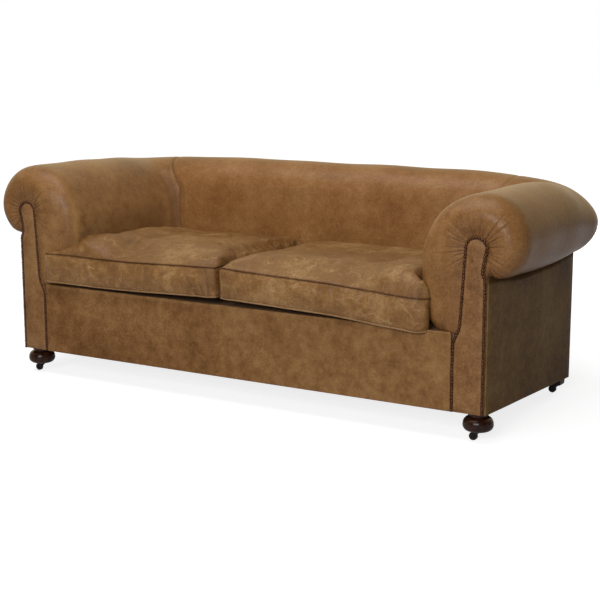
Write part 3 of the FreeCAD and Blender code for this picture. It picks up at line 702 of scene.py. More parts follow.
def makeRolls():
    piece = fillPads()
    smoothPads(piece)
    where = pointsOf(piece)
    outward = normalsOf(piece)
    onRight = where[:, 0] > 0
    right = where.copy()
    right[:, 0] = np.abs(where[:, 0])
    out, y, z = right.T
    where[:, 2] -= cornerDip(where, right)
    # the rolls hang fuller below, most in the middle of the right arm's run
    past = np.clip(rise("pastX", out) + rise("pastY", y), 0, 1)
    belly = rolls["underBelly"] * bell(y, rolls["bellyY"], rolls["bellyReach"])
    toFront = rolls["underFront"] * (1 - rise("underY", y))
    slack = rolls["underSag"] + (belly + toFront) * rise("armX", where[:, 0])
    where[:, 2] -= slack * (1 - rise("underZ", z)) * past
    # the fronts puff past the nails that hold them
    front = rise("frontY", y)
    gap = np.full(len(where), 1.0)
    hidden = np.zeros(len(where), dtype=bool)
    for sideName, here in (("left", ~onRight), ("right", onRight)):
        near = np.nonzero(here & (front > 0))[0]
        gap[near] = rimGap(where[near], sideName)
        hidden[near] = behindFacing(where[near], sideName)
    inner = rise("innerX", out) * (1 - rise("innerEndZ", z))
    innerPuff = rolls["innerPuff"] + (rolls["highPuff"] - rolls["innerPuff"]) * rise("overCushionZ", z)
    most = rolls["puff"] + (innerPuff - rolls["puff"]) * inner
    puff = rolls["atNails"] * (1 - inner) + most * rise("puffGap", gap)
    where[:, 1] -= puff * (1 - rise("puffEndGap", gap)) * front * ~hidden
    behind = np.maximum(where[:, 1], frontPlane + rolls["sunk"])
    where[:, 1] = np.where(hidden & (front > 0.5), behind, where[:, 1])
    # the foot of a front is tucked back towards the seat
    where[:, 1] += rolls["tuck"] * rise("tuckX", out) * (1 - rise("tuckEndZ", z)) * rise("tuckY", y)
    loose = np.clip(rise("swellZ", z) + (out < rolls["swellInX"]) * (y < rolls["swellInY"]), 0, 1)
    swell = slowSwell(where, rolls["swellSize"], rolls["swellSeed"]) * loose
    where += outward * (swell * rolls["swell"])[:, None]
    gather = np.where(onRight, gathers(right, rolls["pleatSeed"][1]), gathers(right, rolls["pleatSeed"][-1]))
    where -= outward * (gather * rolls["pleatDeep"])[:, None]
    beside = out - seamAt(z)
    atRear = y > rolls["rearY"]
    drawn = bell(beside, 0, rolls["seamReach"]) * atRear
    fold = bell(beside, -rolls["foldGap"], rolls["foldReach"]) * atRear * ~onRight
    fold *= 1 - rise("foldEndZ", z)
    where -= outward * (drawn * bySide(onRight, "seamDip") + fold * rolls["foldDip"])[:, None]
    setPoints(piece, where)
    # painted shade in the gathers, the seams, the fold and the corner to the back, which are also dulled
    shade = bySide(onRight, "seamShade") * drawn ** 3 + rolls["foldShade"] * fold
    inward = np.clip(-outward[:, 0] * np.sign(where[:, 0]), 0, 1) * rise("insideX", out)
    level = np.hypot(outward[:, 0], outward[:, 1])
    turned = inward / np.maximum(level, 0.2)
    bend = rise("bendTurn", turned) * (1 - rise("bendEndTurn", turned)) * atRear
    shade += rolls["bendShade"] * bend * rise("bendLevel", level) * (1 - rise("bendEndZ", z))
    mark(piece, "creaseshade", np.clip(gather * rolls["pleatShade"] + shade, 0, 1))
    # the shoulders are rubbed, and the inside of the arms is lightened with painted bounce light
    rubbed = bell(awayFrom(right, arch, 2), rolls["rubAt"], rolls["rubReach"]) * rise("rubY", y)
    patches = np.clip(0.5 + slowSwell(where, rolls["rubSize"], rolls["rubSeed"]), 0, 1)
    rubbed *= patches * bySide(onRight, "rub")
    paintedBounce = rise("bounceTurn", inward) * (1.0 - rolls["bounceFade"] * rise("bounceY", where[:, 1]))
    mark(piece, "wearandlight", np.maximum(rubbed, paintedBounce * (1 - rise("bounceEndZ", z))))
    return piece


# cut along both faces of each seam, then part the arms from the back
def partRolls(piece):
    for name, side in sides:
        over = rolls["cutOver"]
        for lean, low, high in ((0.0, 0.0, seamTurn + over), (seamLean, seamTurn - over, 1.0)):
            clearPicks(piece)
            for face in piece.data.polygons:
                middle = face.center
                beside = abs(middle.x * side - float(seamAt(middle.z)))
                face.select = beside < rolls["cutReach"] and middle.y > rolls["rearY"] and low < middle.z < high
            editMode()
            bpy.ops.mesh.bisect(plane_co=(side * seamLow, 0, seamTurn), plane_no=(side, 0, -lean))
            objectMode()
    pieces = {"back": piece}
    for name, side in sides:
        clearPicks(piece)
        for face in piece.data.polygons:
            face.select = face.center.x * side > float(seamAt(face.center.z))
        before = set(scene.objects)
        editMode()
        bpy.ops.mesh.separate(type="SELECTED")
        objectMode()
        arm = (set(scene.objects) - before).pop()
        arm.name = name + "ArmHide"
        pieces[name] = arm
    for item in pieces.values():
        closeEnds(item)
    return pieces


# flat ends where a roll was cut, with a sharp rim
def closeEnds(item):
    smoothShade(item)
    inEdit(item, "EDGE")
    bpy.ops.mesh.select_all(action="DESELECT")
    bpy.ops.mesh.select_non_manifold(extend=False, use_wire=False, use_multi_face=False,
                                     use_non_contiguous=False, use_verts=False)
    bpy.ops.mesh.mark_sharp()
    objectMode()
    rimEdges = [edge.index for edge in item.data.edges if edge.select]
    for name, side in sides:
        clearPicks(item, "EDGE")
        points = item.data.vertices
        ends = [index for index in rimEdges if points[item.data.edges[index].vertices[0]].co.x * side > 0]
        for index in ends:
            item.data.edges[index].select = True
        if ends:
            editMode()
            bpy.ops.mesh.fill()
            objectMode()
    inEdit(item)
    bpy.ops.mesh.normals_make_consistent(inside=False)
    objectMode()


parted = partRolls(makeRolls())
for name, item in parted.items():
    finish = backHide if name == "back" else armHide
    first = "back" if name == "back" else name + "_arm"
    dress(item, finish, "hide", body, first + "_cover", first + "_pad")
    print("roll shaped", item.name, len(item.data.polygons))

# loose seat cushions, blown up by cloth between their two welts
cushion = {
    "voxel": 0.0075, "skin": 0.003, "pressure": 3.5, "frames": 20, "cap": 0.018, "spare": -0.014, "crown": 0.68,
    "weltLow": 0.3334, "weltHigh": 0.4354, "weltReach": 0.006, "weltRim": 0.009, "weltDip": 0.0022,
    "front": -0.4175, "rear": 0.1825, "rearCorner": 0.050, "bendReach": 0.0545, "bendY": padFront + 0.050,
    "seamGive": 0.004, "sideGive": 0.0035, "overhang": 0.004, "platformGap": 0.0006,
    "swell": 0.0018, "swellSize": 0.16, "swellSeed": {1: 41, -1: 57}, "swellLimit": 1.5,
    "foldDeep": 0.0034, "foldShade": 0.5, "weltShade": 0.7,
    # pinned welts and underside while it is blown up
    "pinFrom": 0.45, "underTurn": -0.6,
    # top raised along the middle seam, then evened
    "seamRise": {-1: 0.022, 1: 0.011}, "riseX": (0.0, 0.11), "riseY": (-0.41, -0.36), "riseZ": (-0.006, 0.006),
    "levelReach": 0.08, "levelSteps": 44, "levelTurn": (0.25, 0.75),
    "levelX": (0.015, 0.08), "levelY": (-0.412, -0.395),
    # rubbed front edge and a knocked right corner
    "wornY": (-0.395, -0.412), "worn": 0.2, "wornAt": 0.008, "wornReach": 0.012,
    "knock": 0.5, "knockX": (0.678, 0.018), "knockZ": (0.385, 0.030),
}
cushionPlans = {
    "left": {"side": -1, "seam": -0.0425, "outer": -0.6385, "ear": -0.735, "earLift": 0.050, "earTip": 0.760,
             "earRun": 0.112, "earFrom": -0.012},
    "right": {"side": 1, "seam": -0.0335, "outer": 0.6385, "ear": 0.706, "earLift": 0.070, "earTip": 0.720,
              "earRun": 0.046, "earFrom": -0.024},
}
cushionWelt = {"radius": 0.0030, "highShare": 0.85, "out": 0.0004, "corner": 0.012, "longEdge": 0.05,
               "cuts": 40, "swell": 0.0012, "swellSize": 0.09, "swellSeed": 3, "proud": 0.35}
slump = {"frontY": (-0.40, -0.05), "seamX": -0.038, "seamLift": 0.012, "liftReach": 0.30,
         "rightSag": -0.021, "rightX": (0.33, 0.70), "leftSag": 0.002, "leftX": (-0.40, -0.70),
         "rightEar": 0.655, "rightSqueeze": 0.66, "leftEar": -0.66, "leftStretch": 1.17,
         "rightBack": 0.017, "rightTipX": (0.655, 0.706), "leftBack": 0.003, "leftTipX": (-0.70, -0.735),
         "seamBack": 0.009, "backReach": 0.028, "backY": (-0.40, -0.36)}
armPress = {"rear": 0.008, "front": 0.022, "frontY": (-0.02, 0.17), "earPlain": 0.026, "earAt": -0.36,
            "earReach": 0.13, "outX": (0.44, 0.62), "edgeY": (-0.4185, -0.401), "earHigh": 0.018}
# each fold line has a start, a lean and a width
slackFolds = {"lines": ((0.016, 0.16, 0.0035), (0.034, 0.34, 0.004), (0.058, 0.55, 0.0045)),
              "at": 0.375, "reach": 0.028, "strength": {-1: 1.0, 1: 0.45}, "frontY": (-0.395, -0.408)}


# how the worn-in cushions have settled from their plain form
def slumped(where):
    x, y = where[:, 0].copy(), where[:, 1].copy()
    settled = where.copy()
    sag = slump["seamLift"] * bell(x, slump["seamX"], slump["liftReach"])
    sag += slump["rightSag"] * smoothStep(*slump["rightX"], x)
    sag += slump["leftSag"] * smoothStep(*slump["leftX"], x)
    settled[:, 2] += sag * (1 - smoothStep(*slump["frontY"], y))
    for ear, share, past in (("rightEar", "rightSqueeze", x > slump["rightEar"]),
                             ("leftEar", "leftStretch", x < slump["leftEar"])):
        settled[:, 0] = np.where(past, slump[ear] + (x - slump[ear]) * slump[share], settled[:, 0])
    back = slump["rightBack"] * smoothStep(*slump["rightTipX"], x)
    back += slump["leftBack"] * smoothStep(*slump["leftTipX"], x)
    back += slump["seamBack"] * bell(x, slump["seamX"], slump["backReach"])
    settled[:, 1] += back * (1 - smoothStep(*slump["backY"], y))
    return settled


# pressed up where a cushion is packed against the arm
def armLift(where, plan):
    out, y = np.abs(where[:, 0]), where[:, 1]
    lift = armPress["rear"] + armPress["front"] * (1 - smoothStep(*armPress["frontY"], y))
    lift += (plan["earLift"] - armPress["earPlain"]) * bell(y, armPress["earAt"], armPress["earReach"])
    tip = np.clip((plan["earTip"] - out) / plan["earRun"], 0, 1)
    return lift * tip * smoothStep(*armPress["outX"], out) * smoothStep(*armPress["edgeY"], y)


def cushionOutline(plan, out):
    side = plan["side"]
    seam = plan["seam"] - side * out
    outer = plan["outer"] + side * out
    ear = plan["ear"] + side * out
    front = cushion["front"] - out
    bend = cushion["bendReach"] - out
    bendX = plan["outer"] + side * cushion["bendReach"]
    bendY = cushion["bendY"]
    rear = cushion["rear"] + out
    corners = [(seam, front), (ear, front), (ear, bendY - bend)]
    for step in range(9):
        turn = math.radians(90 * step / 8)
        corners.append((bendX - side * bend * math.sin(turn), bendY - bend * math.cos(turn)))
    return corners + [(outer, rear), (seam, rear)]


def weltTube(name, plan, height, radius, onto):
    corners = cushionOutline(plan, cushionWelt["out"])
    mesh = bpy.data.meshes.new(name)
    count = len(corners)
    mesh.from_pydata([(x, y, height) for x, y in corners], [(i, (i + 1) % count) for i in range(count)], [])
    piece = bpy.data.objects.new(name, mesh)
    scene.collection.objects.link(piece)
    clearPicks(piece, "VERT")
    for index in (0, 1, 2, count - 2, count - 1):  # the bend to the ear is round already
        piece.data.vertices[index].select = True
    editMode()
    bpy.ops.mesh.bevel(offset=cushionWelt["corner"], segments=5, affect="VERTICES")
    clearPicks(piece, "EDGE")
    for edge in piece.data.edges:
        a, b = (piece.data.vertices[i].co for i in edge.vertices)
        edge.select = (a - b).length > cushionWelt["longEdge"]
    editMode()
    bpy.ops.mesh.subdivide(number_cuts=cushionWelt["cuts"])
    objectMode()
    where = slumped(pointsOf(piece))
    where[:, 2] += slowSwell(where, cushionWelt["swellSize"], cushionWelt["swellSeed"]) * cushionWelt["swell"]
    setPoints(piece, where)
    # laid on the hide, evened, then lifted out where it sank in
    for mode in ("ON_SURFACE", "OUTSIDE"):
        wrap = piece.modifiers.new("wrap", "SHRINKWRAP")
        wrap.target = onto
        wrap.wrap_mode = mode
        wrap.offset = radius * cushionWelt["proud"]
        finishModifier(piece, wrap)
        if mode == "ON_SURFACE":
            inEdit(piece, "VERT")
            bpy.ops.mesh.vertices_smooth(factor=0.5, repeat=4)
            objectMode()
    only(piece)
    bpy.ops.object.convert(target="CURVE")
    piece = bpy.context.object
    piece.data.bevel_depth = radius
    piece.data.bevel_resolution = 3
    bpy.ops.object.convert(target="MESH")
    piece = bpy.context.object
    inEdit(piece)
    bpy.ops.mesh.remove_doubles(threshold=mergeGap)
    bpy.ops.mesh.normals_make_consistent(inside=False)
    objectMode()
    smoothShade(piece)
    return piece


def blowUp(piece, pinned):
    start = pointsOf(piece)
    cloth = piece.modifiers.new("filling", "CLOTH")
    cloth.settings.quality = 6
    cloth.settings.mass = 0.4
    cloth.settings.tension_stiffness = 15
    cloth.settings.compression_stiffness = 15
    cloth.settings.shear_stiffness = 8
    cloth.settings.bending_stiffness = 3.0
    cloth.settings.shrink_min = cushion["spare"]
    cloth.settings.use_pressure = True
    cloth.settings.uniform_pressure_force = cushion["pressure"]
    cloth.settings.vertex_group_mass = weighted(piece, pinned, least=0)
    cloth.settings.effector_weights.gravity = 0
    cloth.point_cache.frame_start = 1
    cloth.point_cache.frame_end = cushion["frames"]
    for count in range(1, cushion["frames"] + 1):
        scene.frame_set(count)
    finishModifier(piece, cloth)
    scene.frame_set(1)
    moved = pointsOf(piece) - start
    far = np.linalg.norm(moved, axis=1)
    moved *= np.minimum(1, cushion["cap"] / np.maximum(far, 1e-9))[:, None]
    setPoints(piece, start + moved)
    piece.vertex_groups.clear()


# held within its place between the other cushion, the arm, the back and the platform
def keepIn(where, plan):
    side, bendY, bendReach = plan["side"], cushion["bendY"], cushion["bendReach"]
    where[:, 0] = np.where(side > 0, np.maximum(where[:, 0], plan["seam"] - cushion["seamGive"]),
                           np.minimum(where[:, 0], plan["seam"] + cushion["seamGive"]))
    roundX = np.abs(where[:, 0]) - (abs(plan["outer"]) - cushion["rearCorner"])
    roundY = where[:, 1] - (cushion["rear"] - cushion["rearCorner"])
    over = np.maximum(1, np.hypot(roundX, roundY) / cushion["rearCorner"])
    atCorner = (roundX > 0) & (roundY > 0) & (where[:, 0] * side > 0)
    where[:, 0] = np.where(atCorner, where[:, 0] - side * roundX * (1 - 1 / over), where[:, 0])
    where[:, 1] = np.where(atCorner, where[:, 1] - roundY * (1 - 1 / over), where[:, 1])
    limit = abs(plan["outer"]) + cushion["sideGive"]
    where[:, 0] = np.where(where[:, 1] > bendY, np.clip(where[:, 0], -limit, limit), where[:, 0])
    where[:, 1] = np.minimum(where[:, 1], cushion["rear"] + cushion["sideGive"])
    inEar = np.abs(where[:, 0]) > abs(plan["outer"]) + bendReach
    where[:, 1] = np.where(inEar, np.minimum(where[:, 1], bendY - bendReach), where[:, 1])
    overSeat = where[:, 1] > frontPlane - cushion["overhang"]
    lifted = np.maximum(where[:, 2], platformTop + cushion["platformGap"])
    where[:, 2] = np.where(overSeat, lifted, where[:, 2])
    return where


# slack folds of the boxing beside the middle seam
def seamFolds(where, plan):
    x, y, z = where.T
    inward = (x - plan["seam"]) * plan["side"]
    folds = np.zeros(len(where))
    for start, lean, wide in slackFolds["lines"]:
        line = start + lean * (z - cushion["weltLow"])
        folds = np.maximum(folds, bell(inward, line, wide) * bell(z, slackFolds["at"], slackFolds["reach"]))
    return folds * slackFolds["strength"][plan["side"]] * smoothStep(*slackFolds["frontY"], y)


def makeCushion(sideName):
    plan = cushionPlans[sideName]
    piece = copyNode(sideName + "_cushion_core", sideName + "CushionHide")
    voxelSkin(piece, cushion["voxel"])
    ease(piece, 3)
    where = pointsOf(piece) + normalsOf(piece) * cushion["skin"]
    corners = cushionOutline(plan, 0.0)
    rim = gapTo(lineTree(zip(corners, corners[1:] + corners[:1]), step=0.004), where, 1)
    nearHigh = bell(where[:, 2], cushion["weltHigh"], cushion["weltReach"])
    nearLow = bell(where[:, 2], cushion["weltLow"], cushion["weltReach"])
    welted = np.maximum(nearHigh, nearLow) * bell(rim, 0, cushion["weltRim"])
    above = where[:, 2] - cushion["weltHigh"]
    where[:, 2] = np.where(above > 0, cushion["weltHigh"] + above * cushion["crown"], where[:, 2])
    lifted = smoothStep(plan["earFrom"], plan["earFrom"] + armPress["earHigh"], above)
    where[:, 2] += armLift(where, plan) * lifted
    inward = (where[:, 0] - plan["seam"]) * plan["side"]
    atSeam = (1 - smoothStep(*cushion["riseX"], inward)) * smoothStep(*cushion["riseY"], where[:, 1])
    where[:, 2] += cushion["seamRise"][plan["side"]] * atSeam * smoothStep(*cushion["riseZ"], above)
    where = slumped(where)
    setPoints(piece, where)
    under = normalsOf(piece)[:, 2] < cushion["underTurn"]
    blowUp(piece, np.where((welted > cushion["pinFrom"]) | under, 1.0, 0.0))
    setPoints(piece, keepIn(pointsOf(piece), plan))
    # lumps of the top evened out towards its edges
    onTop = smoothStep(*cushion["levelTurn"], normalsOf(piece)[:, 2]) * bell(rim, 0, cushion["levelReach"])
    onTop *= smoothStep(*cushion["levelX"], inward) * smoothStep(*cushion["levelY"], where[:, 1])
    ease(piece, cushion["levelSteps"], onTop, True)
    mark(piece, "seamed", welted)
    mark(piece, "rim", rim)
    rounder(piece, 1)
    where = pointsOf(piece)
    outward = normalsOf(piece)
    welted = readMark(piece, "seamed")
    rim = readMark(piece, "rim")
    swell = slowSwell(where, cushion["swellSize"], cushion["swellSeed"][plan["side"]]) * (1 - welted)
    swell = np.clip(swell, -cushion["swellLimit"], cushion["swellLimit"])
    where += outward * (swell * cushion["swell"])[:, None]
    where -= outward * (welted * cushion["weltDip"])[:, None]
    folds = seamFolds(where, plan)
    where -= outward * (folds * cushion["foldDeep"])[:, None]
    setPoints(piece, keepIn(where, plan))
    # painted shade along the welts and in the slack folds
    mark(piece, "creaseshade", np.clip(welted * cushion["weltShade"] + folds * cushion["foldShade"], 0, 1))
    worn = bell(rim, cushion["wornAt"], cushion["wornReach"]) * cushion["worn"]
    knock = bell(where[:, 0], *cushion["knockX"]) * bell(where[:, 2], *cushion["knockZ"]) * cushion["knock"]
    frontEdge = smoothStep(*cushion["wornY"], where[:, 1])
    mark(piece, "wearandlight", np.maximum(worn, knock) * frontEdge * (1 - welted))
    smoothShade(piece)
    cushionBody = sideName + "_cushion"
    dress(piece, cushionHide, "hide", cushionBody, cushionBody + "_cover", cushionBody + "_core")
    radius = cushionWelt["radius"]
    thinner = radius * cushionWelt["highShare"]
    high = weltTube(sideName + "CushionWelt", plan, cushion["weltHigh"], thinner, piece)
    low = weltTube(sideName + "LowWelt", plan, cushion["weltLow"], radius, piece)
    only(high, low)
    bpy.ops.object.join()
    # the upper welts in the dark copy, painted shade, and the lower ones in the paler copy, painted light on a
    # rubbed edge
    dress(high, shadedWeltHide, "hide", cushionBody, cushionBody + "_piping")
    high.data.materials.append(rubbedLitWelt)
    for face in high.data.polygons:
        face.material_index = int(face.center.z < (cushion["weltLow"] + cushion["weltHigh"]) / 2)
    print("cushion filled", piece.name, len(piece.data.polygons))


for sideName, side in sides:
    makeCushion(sideName)

# arm facings, padded a little and held down along the nails
facing = {"voxel": 0.0032, "faceY": (0.006, 0.001), "crown": 0.0042, "crownFrom": 0.004, "crownReach": 0.020,
          "nailLine": 0.005, "nailDip": 0.0012, "nailReach": 0.003,
          "swell": 0.0007, "swellSize": 0.09, "swellSeed": {1: 71, -1: 77},
          "rub": 0.3, "rubAt": 0.013, "rubReach": 0.004}


def makeFacing(sideName, side):
    piece = copyNode(sideName + "_facing", sideName + "FacingHide")
    voxelSkin(piece, facing["voxel"])
    ease(piece, 3)
    where = pointsOf(piece)
    rim = rimGap(where, sideName)
    faceUp = smoothStep(*facing["faceY"], where[:, 1] - frontPlane)
    inside = np.maximum(rim - facing["crownFrom"], 0) / facing["crownReach"]
    crown = facing["crown"] * (1 - np.exp(-inside ** 1.5))
    dip = facing["nailDip"] * bell(rim, facing["nailLine"], facing["nailReach"])
    where[:, 1] -= faceUp * (crown - dip)
    where[:, 1] -= faceUp * slowSwell(where, facing["swellSize"], facing["swellSeed"][side]) * facing["swell"]
    setPoints(piece, where)
    mark(piece, "wearandlight", faceUp * bell(rim, facing["rubAt"], facing["rubReach"]) * facing["rub"])
    smoothShade(piece)
    dress(piece, facingHide, "hide", body, sideName + "_facing")


for sideName, side in sides:
    makeFacing(sideName, side)
print("facings padded")

# close-set domed nails, one on each nail of the frame
nailHead = {"radius": 0.0052, "rise": 0.0036, "segments": 10, "rings": 6,
            "stagger": 0.0002, "aside": 0.0003, "size": (0.95, 1.04), "seed": 19}


def nailPlaces():
    piece = copyNode("facing_nails", "nailMarks")
    links = {v.index: [] for v in piece.data.vertices}
    for edge in piece.data.edges:
        a, b = edge.vertices
        links[a].append(b)
        links[b].append(a)
    seen = set()
    places = []
    for start in links:
        if start in seen:
            continue
        group, todo = [], [start]
        seen.add(start)
        while todo:
            here = todo.pop()
            group.append(piece.data.vertices[here].co)
            for other in links[here]:
                if other not in seen:
                    seen.add(other)
                    todo.append(other)
        middle = sum(group, Vector()) / len(group)
        places.append((middle.x, max(p.y for p in group), middle.z))
    bpy.data.objects.remove(piece)
    return places


def makeNails():
    bpy.ops.object.select_all(action="DESELECT")
    bpy.ops.mesh.primitive_uv_sphere_add(segments=nailHead["segments"], ring_count=nailHead["rings"],
                                         radius=nailHead["radius"], rotation=(math.radians(90), 0, 0))
    head = placed()
    inEdit(head)
    bpy.ops.mesh.bisect(plane_co=(0, 0, 0), plane_no=(0, 1, 0), clear_outer=True, use_fill=True)
    bpy.ops.mesh.select_all(action="SELECT")
    bpy.ops.transform.resize(value=(1, nailHead["rise"] / nailHead["radius"], 1))
    objectMode()
    head.name = "facingNails"
    shape = pointsOf(head)
    copies = [head]
    rng = random.Random(nailHead["seed"])
    places = nailPlaces()
    aside = nailHead["aside"]
    for number, (x, y, z) in enumerate(places[1:]):
        extra = bpy.data.objects.new("nailCopy", head.data.copy())
        scene.collection.objects.link(extra)
        stagger = nailHead["stagger"] * (1 if number % 2 else -1)
        shift = np.array([x + stagger + rng.uniform(-aside, aside), y, z + rng.uniform(-aside, aside)])
        setPoints(extra, shape * rng.uniform(*nailHead["size"]) + shift)
        copies.append(extra)
    setPoints(head, shape + np.array(places[0]))
    only(*copies)
    bpy.ops.object.join()
    head = bpy.context.object
    smoothShade(head, 50)
    dress(head, nailBrass, "nail_brass", body, "facing_nails")
    print("nails set", len(places))


makeNails()

# flat outside panels and the front border, drawn tight over the frame
panel = {"swell": 0.0012, "swellSize": 0.24, "swellSeed": 90, "crown": 0.0022, "crownReach": 0.06,
         "edge": 0.0022, "edgeWear": 0.8, "edgeReach": 0.005,
         "rollZ": 0.457, "rollFront": 0.022, "frontY": (-0.10, -0.37), "rollRear": 0.012, "rearY": (0.10, 0.30),
         "shade": 0.8, "shadeZ": (0.013, 0.002)}


def stretchedPanel(name, node, face, cutsX, cutsY, cutsZ, finish):
    low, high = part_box(node)
    piece = addCube(low, high)
    piece.name = name
    where = pointsOf(piece)
    bottom = where[:, 2] < low.z + touch
    where[bottom, 2] = [baseAt(y) for y in where[bottom, 1]]
    setPoints(piece, where)
    inEdit(piece, "EDGE")
    bpy.ops.mesh.bevel(offset=panel["edge"], segments=3, affect="EDGES")
    objectMode()
    for axis, cuts in enumerate((cutsX, cutsY, cutsZ)):
        way = [int(k == axis) for k in range(3)]
        for step in range(1, cuts):
            at = low[axis] + (high[axis] - low[axis]) * step / cuts
            inEdit(piece)
            bpy.ops.mesh.bisect(plane_co=[k * at for k in way], plane_no=way)
            objectMode()
    where = pointsOf(piece)
    edgeGap = np.full(len(where), 1.0)
    for axis in range(3):
        if face[axis] == 0:
            edgeGap = np.minimum(edgeGap, np.minimum(where[:, axis] - low[axis], high[axis] - where[:, axis]))
    axis = [k for k in range(3) if face[k] != 0][0]
    onFace = (where[:, axis] > high[axis] - touch) if face[axis] > 0 else (where[:, axis] < low[axis] + touch)
    inside = smoothStep(0.0, panel["crownReach"], edgeGap) * onFace
    swell = slowSwell(where, panel["swellSize"], panel["swellSeed"] + axis) * panel["swell"]
    where[:, axis] += face[axis] * inside * (panel["crown"] + swell)
    setPoints(piece, where)
    smoothShade(piece, 35)
    if face[0]:
        y = where[:, 1]
        mark(piece, "wearandlight", bell(y, low.y, panel["edgeReach"]) * panel["edgeWear"])
        # dark line of dust and shade where the roll rests on the panel
        under = panel["rollZ"] + panel["rollFront"] * smoothStep(*panel["frontY"], y)
        under += panel["rollRear"] * smoothStep(*panel["rearY"], y)
        start, full = panel["shadeZ"]
        mark(piece, "creaseshade", smoothStep(under - start, under - full, where[:, 2]) * panel["shade"])
    dress(piece, finish, "hide", body, node)
    return piece


stretchedPanel("leftOutsideHide", "left_outside_panel", (-1, 0, 0), 1, 18, 80, sideHide)
stretchedPanel("rightOutsideHide", "right_outside_panel", (1, 0, 0), 1, 18, 80, sideHide)
stretchedPanel("outsideBackHide", "outside_back_panel", (0, 1, 0), 36, 1, 10, sideHide)
print("panels stretched")

# front border with a bead along its top edge, rubbed pale, and paler towards the right
border = {"bead": 0.0046, "sides": 12, "cuts": 60, "sunk": 0.001, "short": 0.004,
          "swell": 0.0007, "swellSize": 0.12, "swellSeed": 13,
          "topRub": 0.6, "topReach": 0.008, "leftPale": 0.08, "rightPale": 0.42, "paleX": (-0.60, 0.80)}


def makeBorder():
    low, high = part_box("front_border")
    bead = border["bead"]
    bpy.ops.object.select_all(action="DESELECT")
    bpy.ops.mesh.primitive_cylinder_add(vertices=border["sides"], radius=bead,
                                        depth=high.x - low.x - border["short"],
                                        location=(0, low.y + bead - border["sunk"], high.z - border["sunk"]),
                                        rotation=(0, math.radians(90), 0))
    edging = placed()
    for step in range(1, border["cuts"]):
        inEdit(edging)
        at = low.x + (high.x - low.x) * step / border["cuts"]
        bpy.ops.mesh.bisect(plane_co=(at, 0, 0), plane_no=(1, 0, 0))
        objectMode()
    where = pointsOf(edging)
    where[:, 2] += slowSwell(where, border["swellSize"], border["swellSeed"]) * border["swell"]
    setPoints(edging, where)
    smoothShade(edging, 50)
    edging.data.materials.append(borderHide)
    piece = stretchedPanel("frontBorderHide", "front_border", (0, -1, 0), 40, 1, 24, borderHide)
    only(piece, edging)
    bpy.ops.object.join()
    where = pointsOf(piece)
    # paler towards the right, and rubbed pale along the top
    rubbed = border["leftPale"] + border["rightPale"] * smoothStep(*border["paleX"], where[:, 0])
    mark(piece, "wearandlight", np.maximum(bell(where[:, 2], high.z, border["topReach"]) * border["topRub"], rubbed))


makeBorder()
print("border edged")

# platform under the cushions
platform = {"deep": 0.03, "edge": 0.004, "cuts": 6, "sag": 0.004, "sagReach": 0.2}


def makePlatform():
    low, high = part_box("platform_pad")
    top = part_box("platform_cover")[1].z
    piece = addCube((low.x, low.y, high.z - platform["deep"]), (high.x, high.y, top))
    piece.name = "platformLining"
    inEdit(piece, "EDGE")
    bpy.ops.mesh.bevel(offset=platform["edge"], segments=3, affect="EDGES")
    bpy.ops.mesh.select_all(action="SELECT")
    bpy.ops.mesh.subdivide(number_cuts=platform["cuts"])
    objectMode()
    where = pointsOf(piece)
    gap = np.minimum(np.minimum(where[:, 0] - low.x, high.x - where[:, 0]),
                     np.minimum(where[:, 1] - low.y, high.y - where[:, 1]))
    where[:, 2] -= (where[:, 2] > top - touch) * smoothStep(0.0, platform["sagReach"], gap) * platform["sag"]
    setPoints(piece, where)
    smoothShade(piece, 40)
    dress(piece, liningCloth, "hide", body, "platform_cover", "platform_pad")


makePlatform()
print("platform laid")

# finishes of the frame's own pieces
finishes = {
    "bun_foot": footWood, "_leg": legWood, "castor_plates": castorMetal, "castor_horn": castorMetal,
    "castor_axle": castorMetal, "castor_wheel": castorWheel, "webbing": webbing, "seat_cloth": webbing,
    "dust_cover": dustCloth,
}
for name, item in nodes.items():
    chosen = frameTimber
    for key, material in finishes.items():
        if key in name:
            chosen = material
    item.data.materials.clear()
    item.data.materials.append(chosen)
    if not item.hide_render:
        smoothShade(item, 35)
print("frame finished")

# camera where the photograph was taken from
camera = {"place": (2.3044, -3.8115, 1.1429), "yaw": 30.90, "pitch": 11.00, "roll": 0.084, "lens": 79.96,
          "sensor": 36}


def makeCamera():
    yaw, pitch = math.radians(camera["yaw"]), math.radians(camera["pitch"])
    right = Vector((math.cos(yaw), math.sin(yaw), 0))
    ahead = Vector((-math.sin(yaw) * math.cos(pitch), math.cos(yaw) * math.cos(pitch), -math.sin(pitch)))
    up = right.cross(ahead)
    turn = Matrix.Rotation(math.radians(camera["roll"]), 3, ahead)
    right, up = turn @ right, turn @ up
    lens = bpy.data.cameras.new("camera")
    lens.sensor_width = camera["sensor"]
    lens.lens = camera["lens"]
    eye = bpy.data.objects.new("camera", lens)
    scene.collection.objects.link(eye)
    grid = Matrix((right, up, -ahead)).transposed().to_4x4()
    grid.translation = Vector(camera["place"])
    eye.matrix_world = grid
    scene.camera = eye


makeCamera()
print("camera placed")

# pale floor, soft lamps and a white surround
stage = {"floor": 0.45, "size": 60, "sunk": -0.0005, "near": 1.3, "far": 3.0, "nearGlow": 0.80,
         "sheenGlow": 0.30, "fill": 0.13, "backdrop": (-0.60, 0.70, 0.38), "backdropFrom": -0.1,
         "backdropTo": 0.9, "room": 0.12, "sheen": (1.0, 0.88, 0.58, 1), "aim": (0, 0, 0.4)}
# place, power, width and height
lamps = {"keyLamp": ((1.4, -6.0, 2.5), 243, 3.5, 2.2), "topLamp": ((-0.25, -0.9, 3.1), 58, 3.0, 2.0),
         "rearLamp": ((0.8, 4.2, 0.5), 60, 2.4, 0.5)}


